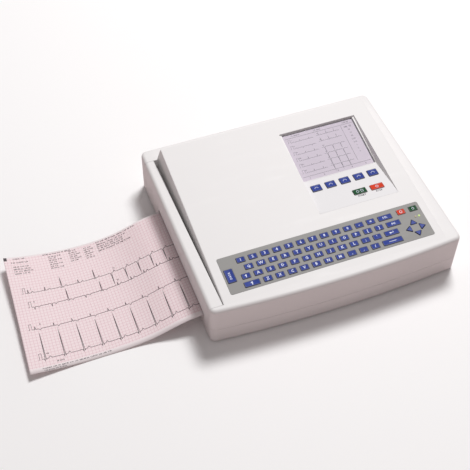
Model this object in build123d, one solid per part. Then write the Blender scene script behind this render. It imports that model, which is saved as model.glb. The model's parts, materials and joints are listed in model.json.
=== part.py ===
"""Portable desktop ECG recorder with a paper drawer that slides out to the left. Millimetres, +Z up.

The origin is under the middle of the casing, on the plane that the feet stand on. -Y is the front.
"""

from build123d import *
import os
from math import asin, atan2, cos, degrees, hypot, radians, sin, tan

os.makedirs("parts", exist_ok=True)

# Casing
casing_width = 400.0
casing_depth = 336.0  # along a side wall
front_bow = 9.0  # how far the front face bulges past its corners
corner_radius = 10.0
wall = 2.5
foot_height = 2.5
rim_height = 76.5  # the flat rim round the sloping top
split_height = 31.5  # where the lower and upper shells meet
rim_edge_radius = 5.5
base_edge_radius = 2.5
split_line_height = 0.6
split_line_depth = 0.8

# Sloping top, which rises from the front rim to the back
plateau_tilt = 4.75
plateau_draft = 8.0
side_rim = 22.5
front_rim = 6.8
back_rim = 23.0
plateau_back_run = 8.0  # how far the back face leans
plateau_side_radius = 1.6
plateau_back_radius = 5.0

# Paper, its drawer and the finger groove
paper_width = 210.0
page_length = 280.0
paper_centre = -30.0  # across the machine, from its middle
stack_height = 13.2
sheet_thickness = 0.4
drawer_gap = 0.4
drawer_front_end = -160.0
drawer_back_end = 141.0
drawer_low_edge = 12.0
groove_width_front = 1.7
groove_width_back = 8.1
groove_depth = 18.5
slot_low = 27.0
slot_high = 35.0
tray_floor_height = 13.0
tray_floor_thickness = 2.0
tray_wall = 2.0
tray_wall_top = 34.0
tray_length = 325.0
paper_side_gap = 1.5

# Printing mechanism
platen_radius = 7.0
platen_inset = 24.0  # platen axis to the casing's left face
platen_floor_gap = 0.5  # platen to the tray's floor
shaft_radius = 3.0
running_clearance = 0.05
bearing_radius = 5.0
gear_module = 1.0
platen_teeth = 16
idler_teeth = 24
pinion_teeth = 12
gear_width = 5.0
gear_backlash = 0.1
idler_direction = 29.0  # angle above level, seen from the front
nip_gap = 0.3
head_width = 12.0
head_height = 4.7
bracket_thickness = 2.0
pivot_inset = 56.0
pivot_rise = 11.5  # head pivot above the nip
pivot_radius = 2.0
chassis_height = 47.0
chassis_thickness = 1.5
motor_radius = 17.5
motor_length = 22.0

# Keys: sizes on the face of the keyboard, which lies on the sloping top
key_width = 13.3
key_depth = 9.2
key_pitch = 19.05
row_pitch = 14.3
key_rise = 1.3
key_body = 5.1
key_corner = 1.3
key_edge = 0.5
key_travel = 1.0
key_gap = 0.35
first_row = 21.1  # front row, from the foot of the slope
overlay_width = 326.5
overlay_depth = 64.0
overlay_start = 12.2
overlay_thickness = 1.2
overlay_rise = 0.4
overlay_corner = 3.0
overlay_ledge = 2.5
board_thickness = 1.6
mat_thickness = 1.8
mat_depth_below = 5.2

# Display recess: a V in the sloping top, with the screen behind the fold and the soft keys in front
recess_right_margin = 31.0
recess_width = 131.5
recess_start = 102.0
recess_fold = 172.6
recess_end = 268.1
fold_depth = 9.5
window_end_depth = 2.5
recess_draft = 17.0
liner = 4.0
window_width = 124.0
window_thickness = 1.5
window_sink = 1.0
window_ledge = 2.0
window_gap = 0.2
module_height = 8.0
softkey_width = 16.4
softkey_depth = 13.0
softkey_pitch = 24.0
softkey_place = 52.2  # up the panel, from its front edge
softkey_shift = -1.1  # the row of soft keys is a little left of the middle
command_width = 22.0
command_depth = 10.6
command_place = 22.2
start_offset = 10.6
command_pitch = 29.2
panel_thickness = 1.2

# Power, sockets and fasteners
battery_size = (178.0, 35.0, 65.0)
transformer_size = (48.0, 52.0, 44.0)
screw_radius = 1.5
screw_clearance = 0.2
boss_radius = 4.5
foot_radius = 8.0
foot_sink = 1.5
foot_clearance = 0.3  # between a leg of the chassis and the raised floor over a foot
stud_radius = 3.0
stud_length = 12.0
inlet_size = (27.0, 20.0, 26.0)
inlet_place = 150.0
stud_place = 174.0
socket_height = 52.0

# Values worked out from the sizes above
left = -casing_width / 2
right = casing_width / 2
back = casing_depth / 2
front = -back
plateau_half = casing_width / 2 - side_rim
plateau_front = front + front_rim
plateau_foot_back = back - back_rim
plateau_top_back = plateau_foot_back - plateau_back_run
floor_top = foot_height + wall
tall = 300.0  # taller than anything here, for cutting tools
paper_front = paper_centre - paper_width / 2
paper_back = paper_centre + paper_width / 2
tray_front = paper_front - paper_side_gap - tray_wall
tray_back = paper_back + paper_side_gap + tray_wall
tray_low = tray_floor_height
tray_left = left + wall
tray_right = tray_left + tray_length
platen_x = left + platen_inset
pivot_x = left + pivot_inset
platen_axis_height = tray_floor_height + tray_floor_thickness + platen_floor_gap + platen_radius
nip_height = platen_axis_height + platen_radius
pivot_height = nip_height + pivot_rise
gear_front = tray_back + 2.0
gear_back = gear_front + gear_width
chassis_front = tray_front - 8.0
chassis_back = gear_back + 1.5
recess_centre = plateau_half - recess_right_margin - recess_width / 2
slope = Plane(
    origin=(0, plateau_front, rim_height),
    x_dir=(1, 0, 0),
    z_dir=(0, -sin(radians(plateau_tilt)), cos(radians(plateau_tilt))),
).location
panel_run = recess_fold - recess_start
panel_angle = degrees(asin(fold_depth / hypot(panel_run, fold_depth)))
panel_length = hypot(panel_run, fold_depth)
window_run = recess_end - recess_fold
window_angle = degrees(atan2(fold_depth - window_end_depth, window_run))
window_length = hypot(window_run, fold_depth - window_end_depth)
liner_under_panel = liner * cos(radians(panel_angle))
liner_under_window = liner * cos(radians(window_angle))
panel_face = slope * Pos(recess_centre, recess_start, 0) * Rot(-panel_angle, 0, 0)
window_face = slope * Pos(recess_centre, recess_fold, -fold_depth) * Rot(window_angle, 0, 0)


def block(x, y, z):
    """A box between pairs of low and high values."""
    middle = Pos((x[0] + x[1]) / 2, (y[0] + y[1]) / 2, (z[0] + z[1]) / 2)
    return middle * Box(x[1] - x[0], y[1] - y[0], z[1] - z[0])


def rod(radius, x, y, z):
    """A cylinder along Y between the pair y."""
    return Pos(x, (y[0] + y[1]) / 2, z) * Rot(90, 0, 0) * Cylinder(radius, y[1] - y[0])


def post(radius, x, y, z):
    """A cylinder along Z between the pair z."""
    return Pos(x, y, (z[0] + z[1]) / 2) * Cylinder(radius, z[1] - z[0])


def side_prism(points, x):
    """A prism along X between the pair x, from (y, z) points."""
    face = make_face(Plane.YZ * Polyline(*points, close=True))
    return Pos(x[0], 0, 0) * extrude(face, x[1] - x[0], dir=(1, 0, 0))


def front_prism(points, y):
    """A prism along Y between the pair y, from (x, z) points."""
    face = make_face(Plane.XZ * Polyline(*points, close=True))
    return Pos(0, y[0], 0) * extrude(face, y[1] - y[0], dir=(0, 1, 0))


def plan_prism(points, z):
    """A prism along Z between the pair z, from (x, y) points."""
    face = make_face(Polyline(*points, close=True))
    return Pos(0, 0, z[0]) * extrude(face, z[1] - z[0])


def group(shapes):
    """Several separate solids in one node."""
    return Compound(children=[solid for shape in shapes for solid in shape.solids()])


def casing_outline(inset):
    half = right - inset
    deep = back - inset
    straight = Polyline((-half, -deep), (-half, deep), (half, deep), (half, -deep))
    bow = ThreePointArc((half, -deep), (0, -deep - front_bow), (-half, -deep))
    return make_face(straight + bow)


def casing_prism(inset, low, high):
    prism = Pos(0, 0, low) * extrude(casing_outline(inset), high - low)
    return fillet(prism.edges().filter_by(Axis.Z), corner_radius - inset)


def plateau_block(inset):
    """The sloping top, with its sides and back leaning in. It starts below the rim, to join the casing."""
    base = rim_height - inset
    skirt = base - wall
    top_back = plateau_top_back - inset
    foot_back = plateau_foot_back - inset
    rise = (top_back - plateau_front) * tan(radians(plateau_tilt))
    half = plateau_half - inset
    lean = tan(radians(plateau_draft))
    long_way = side_prism(
        [(plateau_front, skirt), (plateau_front, base), (top_back, base + rise), (foot_back, base), (foot_back, skirt)],
        (-half, half),
    )
    peak = rise + wall
    across = front_prism(
        [
            (-half, skirt), (-half, base), (-half + peak * lean, base + peak),
            (half - peak * lean, base + peak), (half, base), (half, skirt),
        ],
        (plateau_front - wall, foot_back + wall),
    )
    return long_way & across


def rounded_plateau():
    solid = plateau_block(0)
    top = solid.faces().sort_by(Axis.Z)[-1]
    back_edge = top.edges().sort_by(Axis.Y)[-1]
    solid = fillet(back_edge, plateau_back_radius)
    top = max(
        solid.faces().filter_by(GeomType.PLANE),
        key=lambda face: face.area * (face.normal_at().Z > 0.9),
    )
    sides = [edge for edge in top.edges() if abs(edge.center().X) > plateau_half / 2]
    return fillet(sides, plateau_side_radius)


def casing_solid():
    solid = casing_prism(0, foot_height, rim_height)
    solid = fillet(solid.faces().sort_by(Axis.Z)[-1].edges(), rim_edge_radius)
    solid = fillet(solid.faces().sort_by(Axis.Z)[0].edges(), base_edge_radius)
    return solid + rounded_plateau()


def casing_hollow():
    return casing_prism(wall, floor_top, rim_height - wall) + plateau_block(wall)


def split_line():
    """The shallow line between the two shells, as the ring that is cut away."""
    low = split_height - split_line_height / 2
    high = split_height + split_line_height / 2
    inner = casing_prism(split_line_depth, low, high)
    return block((left - wall, right + wall), (front - 2 * front_bow, back + wall), (low, high)) - inner


def drawer_opening():
    return block(
        (left - wall, -plateau_half),
        (drawer_front_end - drawer_gap, drawer_back_end + drawer_gap),
        (drawer_low_edge - drawer_gap, tall),
    )


def drawer_end_walls(low, high):
    """Two walls that close the shells beside the drawer, and the wall behind the finger groove."""
    near = drawer_front_end - drawer_gap
    far = drawer_back_end + drawer_gap
    inner = -plateau_half + wall
    return [
        block((left, inner), (near - wall, near), (low, high)),
        block((left, inner), (far, far + wall), (low, high)),
    ]


def boss_places():
    inner = back - boss_radius - 8.0
    return [
        (-plateau_half + 13.0, -inner), (0, -inner - 3.0), (right - 15.0, -inner),
        (left + 15.0, inner), (battery_place()[0] - 14.0, inner + 2.0), (right - 13.0, inner),
    ]


def foot_places():
    return [(x, y) for x in (left + 38.0, right - 38.0) for y in (front + 34.0, back - 34.0)]


def battery_place():
    """Low corner of the battery on the floor, in the strip behind the drawer."""
    return (-50.0, back - wall - 6.0 - battery_size[1], floor_top + 0.5)


def cover_span():
    """The battery cover's opening in the floor, as pairs x and y."""
    corner = battery_place()
    return (corner[0] - 4.0, corner[0] + battery_size[0] + 4.0), (corner[1] - 12.0, corner[1] + 22.0)


def bottom_housing():
    lower = block((left, right), (front - 2 * front_bow, back), (0, split_height))
    shell = (casing_outer & lower) - casing_inner
    walls = group(drawer_end_walls(foot_height + wall / 2, split_height)) & casing_outer
    shell = shell + walls - drawer_opening() - split_line()
    for x, y in boss_places():
        shell += post(boss_radius, x, y, (foot_height + wall / 2, split_height))
        shell -= post(screw_radius + screw_clearance, x, y, (0, tall))
        shell -= post(2 * screw_radius + screw_clearance, x, y, (0, screw_head_top))
    for x, y in foot_places():
        shell -= post(foot_radius, x, y, (0, foot_height + foot_sink))
        shell += post(foot_radius + wall, x, y, (foot_height + foot_sink, floor_top + foot_sink))
    cover_x, cover_y = cover_span()
    shell -= block(cover_x, cover_y, (0, floor_top + 1.0))
    inlet_half = inlet_size[0] / 2
    inlet_low, inlet_high = inlet_levels()
    shell -= block((inlet_place - inlet_half, inlet_place + inlet_half), (back - 2 * wall, back + wall),
                   (inlet_low, inlet_high))
    stud_hole = stud_radius + running_clearance
    shell -= rod(stud_hole, stud_place, (back - 2 * wall, back + wall), (inlet_low + inlet_high) / 2)
    return shell


screw_head_top = foot_height + 3.2


def inlet_levels():
    low = foot_height + 4.5
    return low, low + inlet_size[1]


def display_recess():
    """The V-shaped hollow, as the solid that is cut away."""
    deep = liner + fold_depth
    lean = deep * tan(radians(recess_draft))
    half = recess_width / 2
    long_way = side_prism(
        [
            (recess_start, 0), (recess_fold, -fold_depth), (recess_end, -window_end_depth),
            (recess_end, deep), (recess_start, deep),
        ],
        (-half - deep, half + deep),
    )
    across = front_prism(
        [(-half - lean, deep), (-half + lean, -deep), (half - lean, -deep), (half + lean, deep)],
        (recess_start - deep, recess_end + deep),
    )
    return slope * Pos(recess_centre, 0, 0) * (long_way & across)


def recess_liner():
    """The wall of plastic that follows the recess under the sloping top."""
    half = recess_width / 2 + wall
    return slope * Pos(recess_centre, 0, 0) * side_prism(
        [
            (recess_start - wall, -wall / 2), (recess_start - wall, wall * tan(radians(panel_angle)) - liner),
            (recess_fold, -fold_depth - liner),
            (recess_end + wall, wall * tan(radians(window_angle)) - window_end_depth - liner),
            (recess_end + wall, -wall / 2),
        ],
        (-half, half),
    )


def window_cuts():
    """The seat of the window and the opening behind it."""
    half = window_width / 2 + window_gap
    seat = block((-half, half), (1.0 - window_gap, window_length - 1.0 + window_gap),
                 (-window_sink - window_thickness, liner))
    half -= window_ledge + window_gap
    opening = block((-half, half), (1.0 + window_ledge, window_length - 1.0 - window_ledge), (-2 * liner, 0))
    return window_face * (seat + opening)


def panel_outline(gap):
    """The soft-key panel's outline: wider at its front, because the recess walls lean."""
    back_half = recess_width / 2 - fold_depth * tan(radians(recess_draft)) - gap
    front_half = recess_width / 2 - gap
    return [(-front_half, gap), (front_half, gap), (back_half, panel_length - gap), (-back_half, panel_length - gap)]


def panel_cuts():
    seat = plan_prism(panel_outline(0), (-panel_thickness, liner))
    half = recess_width / 2 - 8.0
    opening = block((-half, half), (8.0, panel_length - 9.0), (-2 * liner, 0))
    return panel_face * (seat + opening)


def keyboard_span(margin):
    half = overlay_width / 2 - margin
    return (1.0 - half, 1.0 + half), (overlay_start + margin, overlay_start + overlay_depth - margin)


def keyboard_cuts():
    seat_x, seat_y = keyboard_span(-window_gap)
    seat = block(seat_x, seat_y, (overlay_rise - overlay_thickness, wall))
    seat = fillet(seat.edges().filter_by(Axis.Z), overlay_corner)
    opening_x, opening_y = keyboard_span(overlay_ledge)
    opening = block(opening_x, opening_y, (-2 * wall, wall))
    return slope * (seat + opening)


def keyboard_posts():
    """Posts that carry the keyboard's circuit board."""
    x_pair, y_pair = keyboard_span(2.0)
    low = -mat_depth_below - mat_thickness
    places = [(x, y) for x in (x_pair[0], x_pair[1]) for y in y_pair]
    return [slope * post(1.8, x, y, (low, -wall / 2)) for x, y in places]


def socket_places():
    """Middle of each socket on the right wall, as (y, width): the patient lead, then two serial sockets."""
    return [(62.0, 39.0), (12.0, 31.0), (-30.0, 31.0)]


def vents():
    slots = [block((x, x + 3.0), (back - 2 * wall, back + wall), (socket_height - 10.0, socket_height + 10.0))
             for x in [left + 42.0 + 7.0 * i for i in range(8)]]
    return group(slots)


def top_housing():
    upper = block((left, right), (front - 2 * front_bow, back), (split_height, tall))
    shell = (casing_outer & upper) - casing_inner
    near = drawer_front_end - drawer_gap - wall
    far = drawer_back_end + drawer_gap + wall
    groove_wall = block((-plateau_half, -plateau_half + wall), (near, far), (chassis_height + 4.0, rim_height - 0.5))
    walls = (group(drawer_end_walls(split_height, rim_height)) & casing_outer) + groove_wall
    shell = shell + walls - drawer_opening() - split_line()
    shell = shell + recess_liner() - display_recess() - window_cuts() - panel_cuts() - keyboard_cuts()
    for peg in keyboard_posts():
        shell += peg
    for x, y in boss_places():
        shell += post(boss_radius - 0.5, x, y, (split_height, rim_height - wall / 2))
        shell -= post(screw_radius, x, y, (0, split_height + 12.0))
    for y, width in socket_places():
        shell -= block((right - 2 * wall, right + wall), (y - width / 2 + 4.0, y + width / 2 - 4.0),
                       (socket_height - 5.0, socket_height + 5.0))
    return shell - vents()


def groove_edge(y):
    """X of the rim's inner edge at y: the finger groove widens towards the back."""
    share = (y - drawer_front_end) / (drawer_back_end - drawer_front_end)
    return -plateau_half - groove_width_front - share * (groove_width_back - groove_width_front)


def rim_plan(inset):
    near = drawer_front_end + inset
    far = drawer_back_end - inset
    outer = left + inset if inset else left - wall
    return [(outer, near), (groove_edge(near) - inset, near), (groove_edge(far) - inset, far), (outer, far)]


def drawer_front():
    """The left face of the casing with its rim, the finger groove's floor and the paper slot."""
    solid = plan_prism(rim_plan(0), (drawer_low_edge, rim_height)) & casing_outer
    solid -= plan_prism(rim_plan(wall), (0, rim_height - wall))
    groove_floor = rim_height - groove_depth
    under = groove_floor - wall
    lip = [(x - wall - 0.5, y) for x, y in ((groove_edge(drawer_front_end), drawer_front_end + wall),
                                            (groove_edge(drawer_back_end), drawer_back_end - wall))]
    edge = -plateau_half - 0.6
    solid -= plan_prism([lip[0], (0, lip[0][1]), (0, lip[1][1]), lip[1]], (0, under))
    solid += plan_prism(
        [
            (groove_edge(drawer_front_end) - wall, drawer_front_end), (edge, drawer_front_end),
            (edge, drawer_back_end), (groove_edge(drawer_back_end) - wall, drawer_back_end),
        ],
        (under, groove_floor),
    )
    slot = (paper_front - 2.0, paper_back + 2.0)
    return solid - block((left - wall, left + 2 * wall), slot, (slot_low, slot_high))


def paper_tray():
    floor_high = tray_low + tray_floor_thickness
    solid = block((tray_left, tray_right), (tray_front, tray_back), (tray_low, floor_high))
    for low, high in ((tray_front, tray_front + tray_wall), (tray_back - tray_wall, tray_back)):
        solid += block((tray_left, tray_right), (low, high), (tray_low, tray_wall_top))
    solid += block((tray_right - tray_wall, tray_right), (tray_front, tray_back), (tray_low, tray_wall_top))
    solid += block((tray_left, tray_left + tray_wall), (tray_front, tray_back), (tray_low, slot_low - 1.0))
    runner_x = (platen_x + 20.0, tray_right)
    for low, high in ((tray_front - 3.0, tray_front), (tray_back, tray_back + 1.6)):
        solid += block(runner_x, (low, high), (tray_low, floor_high))
    bore = (tray_front - 1.0, tray_back + 1.0)
    return solid - rod(bearing_radius, platen_x, bore, platen_axis_height)


def drawer_rails():
    """Two C-shaped rails on the floor that hold the tray's runners."""
    floor_high = tray_low + tray_floor_thickness
    rails = []
    for edge, out in ((tray_front - 3.0 - drawer_gap, -1), (tray_back + 1.6 + drawer_gap, 1)):
        web = sorted((edge, edge + out * 1.8))
        shelf = sorted((edge + out * 1.8, edge - out * 1.4))
        x = (platen_x + 24.0, tray_right + 12.0)
        rail = block(x, web, (floor_top, floor_high + drawer_gap + 1.5))
        rail += block(x, shelf, (floor_top, tray_low - drawer_gap))
        rail += block(x, shelf, (floor_high + drawer_gap, floor_high + drawer_gap + 1.5))
        rails.append(rail)
    return group(rails)


def paper_stack():
    low = tray_low + tray_floor_thickness + 0.1
    start = platen_x + 17.0
    solid = block((start, start + page_length), (paper_front, paper_back), (low, low + stack_height))
    return fillet(solid.edges().filter_by(Axis.Y), 1.0)


def sheet_line():
    """The issued page's underside, from the stack's top over the platen, out of the slot and down to the table."""
    over = nip_height + nip_gap
    return [
        (platen_x + 16.0, over - 0.3), (platen_x, over), (left, over - 0.8), (left - 30.0, over - 8.5),
        (left - 68.0, over - 21.0), (left - 105.0, 2.2), (left - 142.0, 0.4), (left - 180.0, 1.6),
        (left - 215.0, 5.5), (left - 242.0, 10.5),
    ]


def paper_sheet():
    lower = sheet_line()
    upper = [(x, z + sheet_thickness) for x, z in lower]
    outline = Spline(*lower) + Line(lower[-1], upper[-1]) + Spline(*upper[::-1]) + Line(upper[0], lower[0])
    face = make_face(Plane.XZ * outline)
    return Pos(0, paper_front, 0) * extrude(face, paper_width, dir=(0, 1, 0))


def gear(teeth, phase, x, z, bore):
    """A spur gear about Y. phase is the angle of one tooth, in degrees from +X towards +Z."""
    pitch_radius = teeth * gear_module / 2
    root = pitch_radius - 1.2 * gear_module
    tip = pitch_radius + 0.85 * gear_module
    half_tooth = 90.0 / teeth
    corners = [(root, -1.05), (pitch_radius, -0.8), (tip, -0.34), (tip, 0.34), (pitch_radius, 0.8), (root, 1.05)]
    points = []
    for index in range(teeth):
        middle = phase + index * 360.0 / teeth
        for radius, share in corners:
            angle = radians(middle + share * half_tooth)
            points.append((x + radius * cos(angle), z + radius * sin(angle)))
    return front_prism(points, (gear_front, gear_back)) - rod(bore, x, (gear_front - 1, gear_back + 1), z)


def idler_place():
    reach = (platen_teeth + idler_teeth) * gear_module / 2 + gear_backlash
    angle = radians(idler_direction)
    return platen_x + reach * cos(angle), platen_axis_height + reach * sin(angle)


def pinion_place():
    x, z = idler_place()
    return x + (idler_teeth + pinion_teeth) * gear_module / 2 + gear_backlash, z


def idler_phase():
    """The idler has a gap where the platen gear has a tooth."""
    return idler_direction + 180.0 + 180.0 / idler_teeth


def pinion_phase():
    """The pinion faces the idler along +X: its gap follows the idler tooth that is nearest to that line."""
    step = 360.0 / idler_teeth
    offset = (idler_phase() + step / 2) % step - step / 2
    return 180.0 - offset * idler_teeth / pinion_teeth + 180.0 / pinion_teeth


def platen_roller():
    sleeve = rod(platen_radius, platen_x, (paper_front - 0.5, paper_back + 0.5), platen_axis_height)
    return sleeve - rod(shaft_radius, platen_x, (tray_front, tray_back), platen_axis_height)


def platen_shaft():
    return rod(shaft_radius, platen_x, (tray_front - 2.0, gear_back), platen_axis_height)


def platen_bearings():
    rings = []
    for low, high in ((tray_front, tray_front + tray_wall), (tray_back - tray_wall, tray_back)):
        ring = rod(bearing_radius, platen_x, (low, high), platen_axis_height)
        rings.append(ring - rod(shaft_radius + running_clearance, platen_x, (low - 1, high + 1), platen_axis_height))
    return group(rings)


def stepper_motor():
    x, z = pinion_place()
    can = rod(motor_radius, x, (chassis_back + chassis_thickness, chassis_back + chassis_thickness + motor_length), z)
    shaft = rod(shaft_radius / 2, x, (gear_back - gear_width, chassis_back + chassis_thickness), z)
    return can + shaft


def print_head():
    low = nip_height + sheet_thickness + 2 * nip_gap
    half = head_width / 2
    bar = block((platen_x - half, platen_x + half), (paper_front - 1.0, paper_back + 1.0), (low, low + head_height))
    return bar


def head_bracket():
    """A plate over the print head, with two knuckles on the pivot rod."""
    low = nip_height + sheet_thickness + 2 * nip_gap + head_height
    high = low + bracket_thickness
    outer = platen_x - head_width / 2 - 1.0
    solid = block((outer, pivot_x), (paper_front, paper_back), (low, high))
    knuckle = pivot_radius + 2.5
    for near in (paper_front + 10.0, paper_back - 30.0):
        span = (near, near + 20.0)
        solid += rod(knuckle, pivot_x, span, pivot_height)
        solid += block((pivot_x - knuckle, pivot_x), span, (low, pivot_height))
        solid -= rod(pivot_radius + running_clearance, pivot_x, (near - 1.0, near + 21.0), pivot_height)
    return solid


def head_pivot_rod():
    return rod(pivot_radius, pivot_x, (chassis_front, chassis_back), pivot_height)


def head_springs():
    """Two leaf springs under the chassis that press the bracket down."""
    low = nip_height + sheet_thickness + 2 * nip_gap + head_height + bracket_thickness
    leaves = []
    for near in (paper_front + 40.0, paper_back - 52.0):
        leaves.append(front_prism(
            [
                (pivot_x + 18.0, chassis_height), (pivot_x + 6.0, chassis_height), (platen_x + 2.0, low + 0.6),
                (platen_x - 4.0, low + 0.6), (platen_x - 4.0, low), (platen_x + 2.0, low),
                (pivot_x + 6.0, chassis_height - 0.7), (pivot_x + 18.0, chassis_height - 0.7),
            ],
            (near, near + 12.0),
        ))
    return group(leaves)


def printer_chassis():
    """A sheet-metal bridge over the drawer that carries the head, the gears, the motor and the main board."""
    top = chassis_height + chassis_thickness
    span = (platen_x + 8.0, tray_right + 4.0)
    solid = block(span, (chassis_front - chassis_thickness, chassis_back + chassis_thickness), (chassis_height, top))
    motor_x, motor_z = pinion_place()
    legs = ((chassis_front - chassis_thickness, chassis_front), (chassis_back, chassis_back + chassis_thickness))
    for low, high in legs:
        leg = block((platen_x + 12.0, motor_x + motor_radius + 8.0), (low, high), (floor_top, top))
        leg += block((tray_right - 40.0, tray_right + 4.0), (low, high), (floor_top, top))
        leg -= rod(pivot_radius, pivot_x, (low - 1, high + 1), pivot_height)
        for x, y in foot_places():
            leg -= post(foot_radius + wall + foot_clearance, x, y, (0, floor_top + foot_sink + foot_clearance))
        solid += leg
    solid -= rod(shaft_radius / 2 + 1.0, motor_x, (gear_back, chassis_back + 3.0), motor_z)
    idler_x, idler_z = idler_place()
    return solid + rod(shaft_radius - 0.5, idler_x, (gear_front, chassis_back), idler_z)


def key_cap(width, depth):
    """A key from its top face down, standing on its own place: z 0 is the surface round it."""
    cap = block((-width / 2, width / 2), (-depth / 2, depth / 2), (key_rise - key_body, key_rise))
    cap = fillet(cap.edges().filter_by(Axis.Z), key_corner)
    return fillet(cap.faces().sort_by(Axis.Z)[-1].edges(), key_edge)


def arrow_cap(turn):
    """A triangular key that points along +Y, turned by turn degrees."""
    face = make_face(Polyline((-6.2, -4.4), (6.2, -4.4), (0, 5.2), close=True))
    cap = Pos(0, 0, key_rise - key_body) * extrude(face, key_body)
    cap = fillet(cap.edges().filter_by(Axis.Z), 0.9)
    return Rot(0, 0, turn) * fillet(cap.faces().sort_by(Axis.Z)[-1].edges(), key_edge)


def hole_for(cap):
    """The cap's outline, larger by the key gap, as a tool that cuts through what the key passes."""
    outline = cap.faces().sort_by(Axis.Z)[0]
    grown = offset(outline, key_gap)
    return Pos(0, 0, -key_body) * extrude(grown, 3 * key_body, dir=(0, 0, 1))


def row_place(row):
    """Distance up the slope of a key row; row 1 is the back one."""
    return first_row + (4 - row) * row_pitch


# Row starts and lengths: (first key's x, number of small keys)
small_rows = {1: (-128.6, 12), 2: (-121.1, 12), 3: (-130.8, 12), 4: (-102.4, 10)}


def row_keys(row):
    start, count = small_rows[row]
    return [Pos(start + key_pitch * i, row_place(row), 0) * key_cap(key_width, key_depth) for i in range(count)]


def after_row(row, width):
    """Middle of a key of a width that follows the row's last small key, at the usual gap."""
    start, count = small_rows[row]
    return start + key_pitch * (count - 1) + key_pitch / 2 + (key_pitch - key_width + width) / 2


def single_keys():
    """Every keyboard key that isn't in a row of small ones, by name, lying flat on the slope's own axes."""
    wide = 1.5 * key_pitch - (key_pitch - key_width)
    double = 2 * key_pitch - (key_pitch - key_width)
    shift = wide + 1.2
    arrows = (141.4, first_row + 10.8)
    command_row = row_place(1) + 1.6
    return {
        "delete_key": Pos(after_row(1, wide), row_place(1), 0) * key_cap(wide, key_depth),
        "new_line_key": Pos(after_row(2, wide), row_place(2), 0) * key_cap(wide, key_depth),
        "enter_key": Pos(after_row(3, wide), row_place(3), 0) * key_cap(wide, key_depth),
        "space_key": Pos(after_row(4, double), row_place(4), 0) * key_cap(double, key_depth),
        "shift_key": Pos(small_rows[4][0] - key_pitch / 2 - (key_pitch - key_width + shift) / 2, row_place(4), 0)
        * key_cap(shift, key_depth),
        "patient_data_key": Pos(-152.7, row_place(3) + row_pitch / 2, 0) * key_cap(key_width, key_depth + row_pitch),
        "off_key": Pos(132.4, command_row, 0) * key_cap(key_width, key_depth),
        "on_key": Pos(152.8, command_row, 0) * key_cap(key_width, key_depth),
        "up_key": Pos(arrows[0], arrows[1] + 10.8, 0) * arrow_cap(0),
        "left_key": Pos(arrows[0] - 11.6, arrows[1], 0) * arrow_cap(90),
        "down_key": Pos(arrows[0], arrows[1] - 10.8, 0) * arrow_cap(180),
        "right_key": Pos(arrows[0] + 11.6, arrows[1], 0) * arrow_cap(270),
    }


def panel_keys():
    """Keys of the display panel, by name, on the panel's own axes."""
    keys = {}
    for index in range(5):
        x = (index - 2) * softkey_pitch + softkey_shift
        keys[f"soft_key_{index + 1}"] = Pos(x, softkey_place, 0) * key_cap(softkey_width, softkey_depth)
    keys["start_key"] = Pos(start_offset, command_place, 0) * key_cap(command_width, command_depth)
    keys["stop_key"] = Pos(start_offset + command_pitch, command_place, 0) * key_cap(command_width, command_depth)
    return keys


def keyboard_overlay():
    x_pair, y_pair = keyboard_span(0)
    plate = block(x_pair, y_pair, (overlay_rise - overlay_thickness, overlay_rise))
    plate = fillet(plate.edges().filter_by(Axis.Z), overlay_corner)
    caps = list(single_keys().values()) + [cap for row in small_rows for cap in row_keys(row)]
    for cap in caps:
        plate -= hole_for(cap)
    return slope * plate


def key_mat():
    x_pair, y_pair = keyboard_span(overlay_ledge + 1.0)
    return slope * block(x_pair, y_pair, (-mat_depth_below - mat_thickness, -mat_depth_below))


def keyboard_board():
    x_pair, y_pair = keyboard_span(0)
    top = -mat_depth_below - mat_thickness
    return slope * block(x_pair, y_pair, (top - board_thickness, top))


def softkey_panel():
    plate = plan_prism(panel_outline(window_gap), (-panel_thickness, 0))
    for cap in panel_keys().values():
        plate -= hole_for(cap)
    return panel_face * plate


def softkey_board():
    """Carries the soft keys' switches, with four pegs up to the recess liner."""
    half = recess_width / 2 - 4.0
    top = -mat_depth_below
    board = block((-half, half), (4.0, panel_length - 6.0), (top - board_thickness, top))
    for x in (3.0 - half, half - 3.0):
        for y in (6.0, panel_length - 8.0):
            board += post(1.4, x, y, (top, -liner_under_panel))
    return panel_face * board


def display_window():
    half = window_width / 2
    pane = block((-half, half), (1.0, window_length - 1.0), (-window_sink - window_thickness, -window_sink))
    return window_face * pane


def display_module():
    half = window_width / 2 + 4.0
    top = -liner_under_window
    case = block((-half, half), (4.0, window_length - 1.0), (top - module_height, top))
    half = window_width / 2 - 3.0
    glass = block((-half, half), (5.0, window_length - 5.0), (top, top + 0.8))
    return window_face * (case + glass)


def main_board():
    """The circuit board on the chassis, on four standoffs, with its taller components."""
    top = chassis_height + chassis_thickness
    x_pair, y_pair = (-110.0, 100.0), (-118.0, 60.0)
    board = block(x_pair, y_pair, (top + 4.0, top + 4.0 + board_thickness))
    for x in (x_pair[0] + 6.0, x_pair[1] - 6.0):
        for y in (y_pair[0] + 6.0, y_pair[1] - 6.0):
            board += post(3.0, x, y, (top, top + 4.0))
    deck = top + 4.0 + board_thickness
    for x in (-80.0, -40.0, 0.0):
        board += block((x, x + 24.0), (-70.0, -46.0), (deck, deck + 3.0))
    board += block((40.0, 90.0), (-20.0, -12.0), (deck, deck + 6.0))
    return board + post(8.0, 60.0, -70.0, (deck, deck + 5.0))


def battery_pack():
    x, y, z = battery_place()
    case = block((x, x + battery_size[0]), (y, y + battery_size[1]), (z, z + battery_size[2]))
    return fillet(case.edges().filter_by(Axis.Z), 2.0)


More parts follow.
